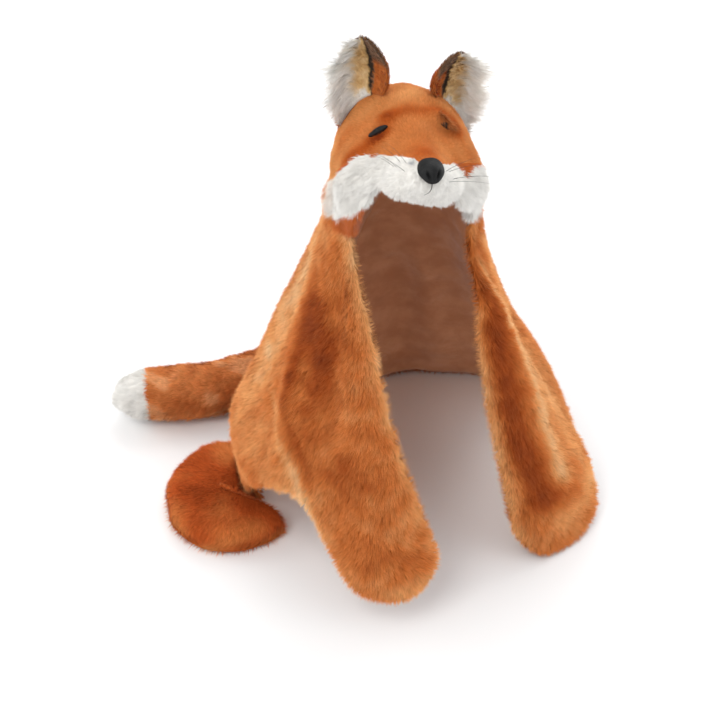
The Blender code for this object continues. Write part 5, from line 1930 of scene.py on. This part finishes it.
@dataclass
class HindLegs:
    """The two flat padded hind legs, on the floor beside the cape."""

    cape: Cape
    outlines: Pair[Table] = Pair(
        ((-0.188, -0.004), (-0.174, 0.018), (-0.203, 0.031), (-0.245, 0.029), (-0.279, 0.011),
         (-0.301, -0.022), (-0.308, -0.062), (-0.298, -0.101), (-0.270, -0.133),
         (-0.235, -0.151), (-0.205, -0.156)),
        ((0.208, -0.196), (0.226, -0.242), (0.226, -0.290), (0.209, -0.328), (0.175, -0.346),
         (0.140, -0.338), (0.112, -0.310), (0.094, -0.268)))
    sewn: Pair[tuple[float, float]] = Pair((-128, -99), (157, 136))
    off: Pair[float] = Pair(0.0010, 0.0019)
    rises: Table = (
        (0.5, 0.001), (0.99, 0.001), (1.0, 0.012), (0.985, 0.026), (0.92, 0.038), (0.72, 0.0455),
        (0.35, 0.0470), (0.02, 0.0472))
    half_width: float = 0.06
    clear: float = 0.0012
    backing: float = 0.0045
    coat: Coat = Coat(density=1000000.0, tuft=0.0055, pull=0.30)

    def rings(self, side: Side) -> Array:
        """Rings of the outline from the floor to the top.

        The profile of (share, height) runs smoothly through the table. Where the leg is sewn on,
        each ring follows the cape at its own height.
        """
        cape, width = self.cape.form, self.half_width
        profile = along([(s * width, h) for s, h in self.rises], np.linspace(0, 1, 34))
        free = np.array([body_point(x, y, FLOOR) for x, y in self.outlines[side]])[:, :2]
        angles = np.linspace(*self.sewn[side], 5)
        rings = []
        for share, height in zip(profile[:, 0] / width, profile[:, 1]):
            drop = np.full(5, min(-FLOOR - height, cape.lowest))
            sewn = cape.face(angles, drop, cape.plush + self.off[side])[:, :2]
            outline = along(np.concatenate([free, sewn, free[:1]]), np.linspace(0, 1, 89)[:-1])
            centre = outline.mean(0)
            spot = centre + (outline - centre) * share
            rings.append(np.column_stack([spot, np.full(len(spot), height + FLOOR)]))
        return np.array(rings)

    def build_leg(self, side: Side, seed: int) -> None:
        """One leg: its pad, and the pile combed from the cape to the toes."""
        rings = self.rings(side)
        points, out = limb_grid(rings, rings.mean((0, 1)), self.backing)
        points[..., 2] = np.maximum(points[..., 2], FLOOR + self.clear)
        name = f"hind_leg_{side.value}"
        cape = self.cape.form
        sewn = cape.face(np.array(self.sewn[side], float), 0.57, cape.plush).mean(0)
        away = unit((points - sewn) * (1, 1, 0))
        flow = unit(away + out * (1, 1, 0) * 0.4)
        spots = ripple(points, 0.06, 91)
        height = points[..., 2] - FLOOR
        tone = np.clip(0.42 + 0.20 * spots + 0.30 * (1 - ease(height, 0.006, 0.034)), 0.02, 0.98)
        shell = limb_shell(name, points, tone, RUST)
        share = ease(out[..., 2], -0.9, -0.3) * np.where(height > 0.003, 1.0, 0.3)
        pile = Pile(self.coat, seed)
        pile.grow(Nap(points, out, flow, 0.0105, 26 + 8 * ripple(points, 0.03, 92), tone, share))
        furred(shell, pile, name, RUST)

    def build(self) -> None:
        """Both legs."""
        for seed, side in enumerate(Side):
            self.build_leg(side, 600 + seed)


# Studio


@dataclass(frozen=True)
class Lamp:
    """A square soft light: its name, place, side in metres, power in watts and colour."""

    name: str
    place: Triple
    size: float
    power: float
    colour: Colour


@dataclass
class Studio:
    """Plain pale floor, soft light from above and the left, and the camera."""

    location: Triple = (-0.34062257, -1.60250321, 1.06715287)
    looks: Triple = (0.13333254, 0.74100504, -0.65812913)
    lens: float = 85.0
    lit: Triple = (0.0, 0.0, -0.25)
    lamps: tuple[Lamp, ...] = (
        Lamp("key", (-1.2, -1.3, 2.1), 1.4, 29.0, (1.0, 0.985, 0.96)),
        Lamp("fill", (1.8, -1.4, 1.2), 1.8, 10.0, (0.97, 0.985, 1.0)),
        Lamp("back", (0.4, 2.0, 1.8), 1.8, 20.0, (1.0, 1.0, 1.0)),
        Lamp("rim_left", (-2.0, 0.9, 0.6), 1.2, 11.0, (1.0, 0.99, 0.97)),
        Lamp("rim_right", (2.0, 0.9, 0.6), 1.2, 11.0, (1.0, 0.99, 0.97)))
    sky: float = 0.85

    def build_camera(self) -> None:
        """The camera at the photograph's viewing angle."""
        data = bpy.data.cameras.new("camera")
        data.lens, data.sensor_width = self.lens, 36.0
        camera = linked("camera", data)
        camera.location = self.location
        camera.rotation_euler = Vector(self.looks).to_track_quat("-Z", "Y").to_euler()
        bpy.context.scene.camera = camera

    def build_floor(self) -> None:
        """A wide floor just under the costume."""
        points = np.array(((-6, -6, FLOOR), (6, -6, FLOOR), (6, 6, FLOOR), (-6, 6, FLOOR)), float)
        floor = mesh_object("floor", points, np.array(((0, 1, 2, 3),)),
                            FloorFinish().material("floor"), outward=False)

    def build_lamp(self, lamp: Lamp) -> None:
        """One light, turned to the costume."""
        data = bpy.data.lights.new(lamp.name, "AREA")
        data.shape, data.size = "SQUARE", lamp.size
        data.energy, data.color = lamp.power, lamp.colour
        light = linked(lamp.name, data)
        light.location = lamp.place
        way = Vector(self.lit) - Vector(lamp.place)
        light.rotation_euler = way.to_track_quat("-Z", "Y").to_euler()

    def build(self) -> None:
        """Everything round the costume."""
        self.build_camera()
        self.build_floor()
        for lamp in self.lamps:
            self.build_lamp(lamp)
        world = bpy.data.worlds.new("studio")
        world.use_nodes = True
        sky = world.node_tree.nodes["Background"]
        sky.inputs["Color"].default_value = (1.0, 1.0, 1.0, 1.0)
        sky.inputs["Strength"].default_value = self.sky
        bpy.context.scene.world = world
        bpy.context.scene.view_settings.view_transform = "Standard"


def main() -> None:
    """Load the frame and build every piece."""
    logging.basicConfig(level=logging.INFO, format="%(name)s %(message)s")
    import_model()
    cape, hood = Cape(), Hood()
    Studio().build()
    cape.build()
    hood.build()
    Face(hood).build()
    Ears(hood).build()
    Tail(cape).build()
    HindLegs(cape).build()


if __name__ == "__main__":
    main()
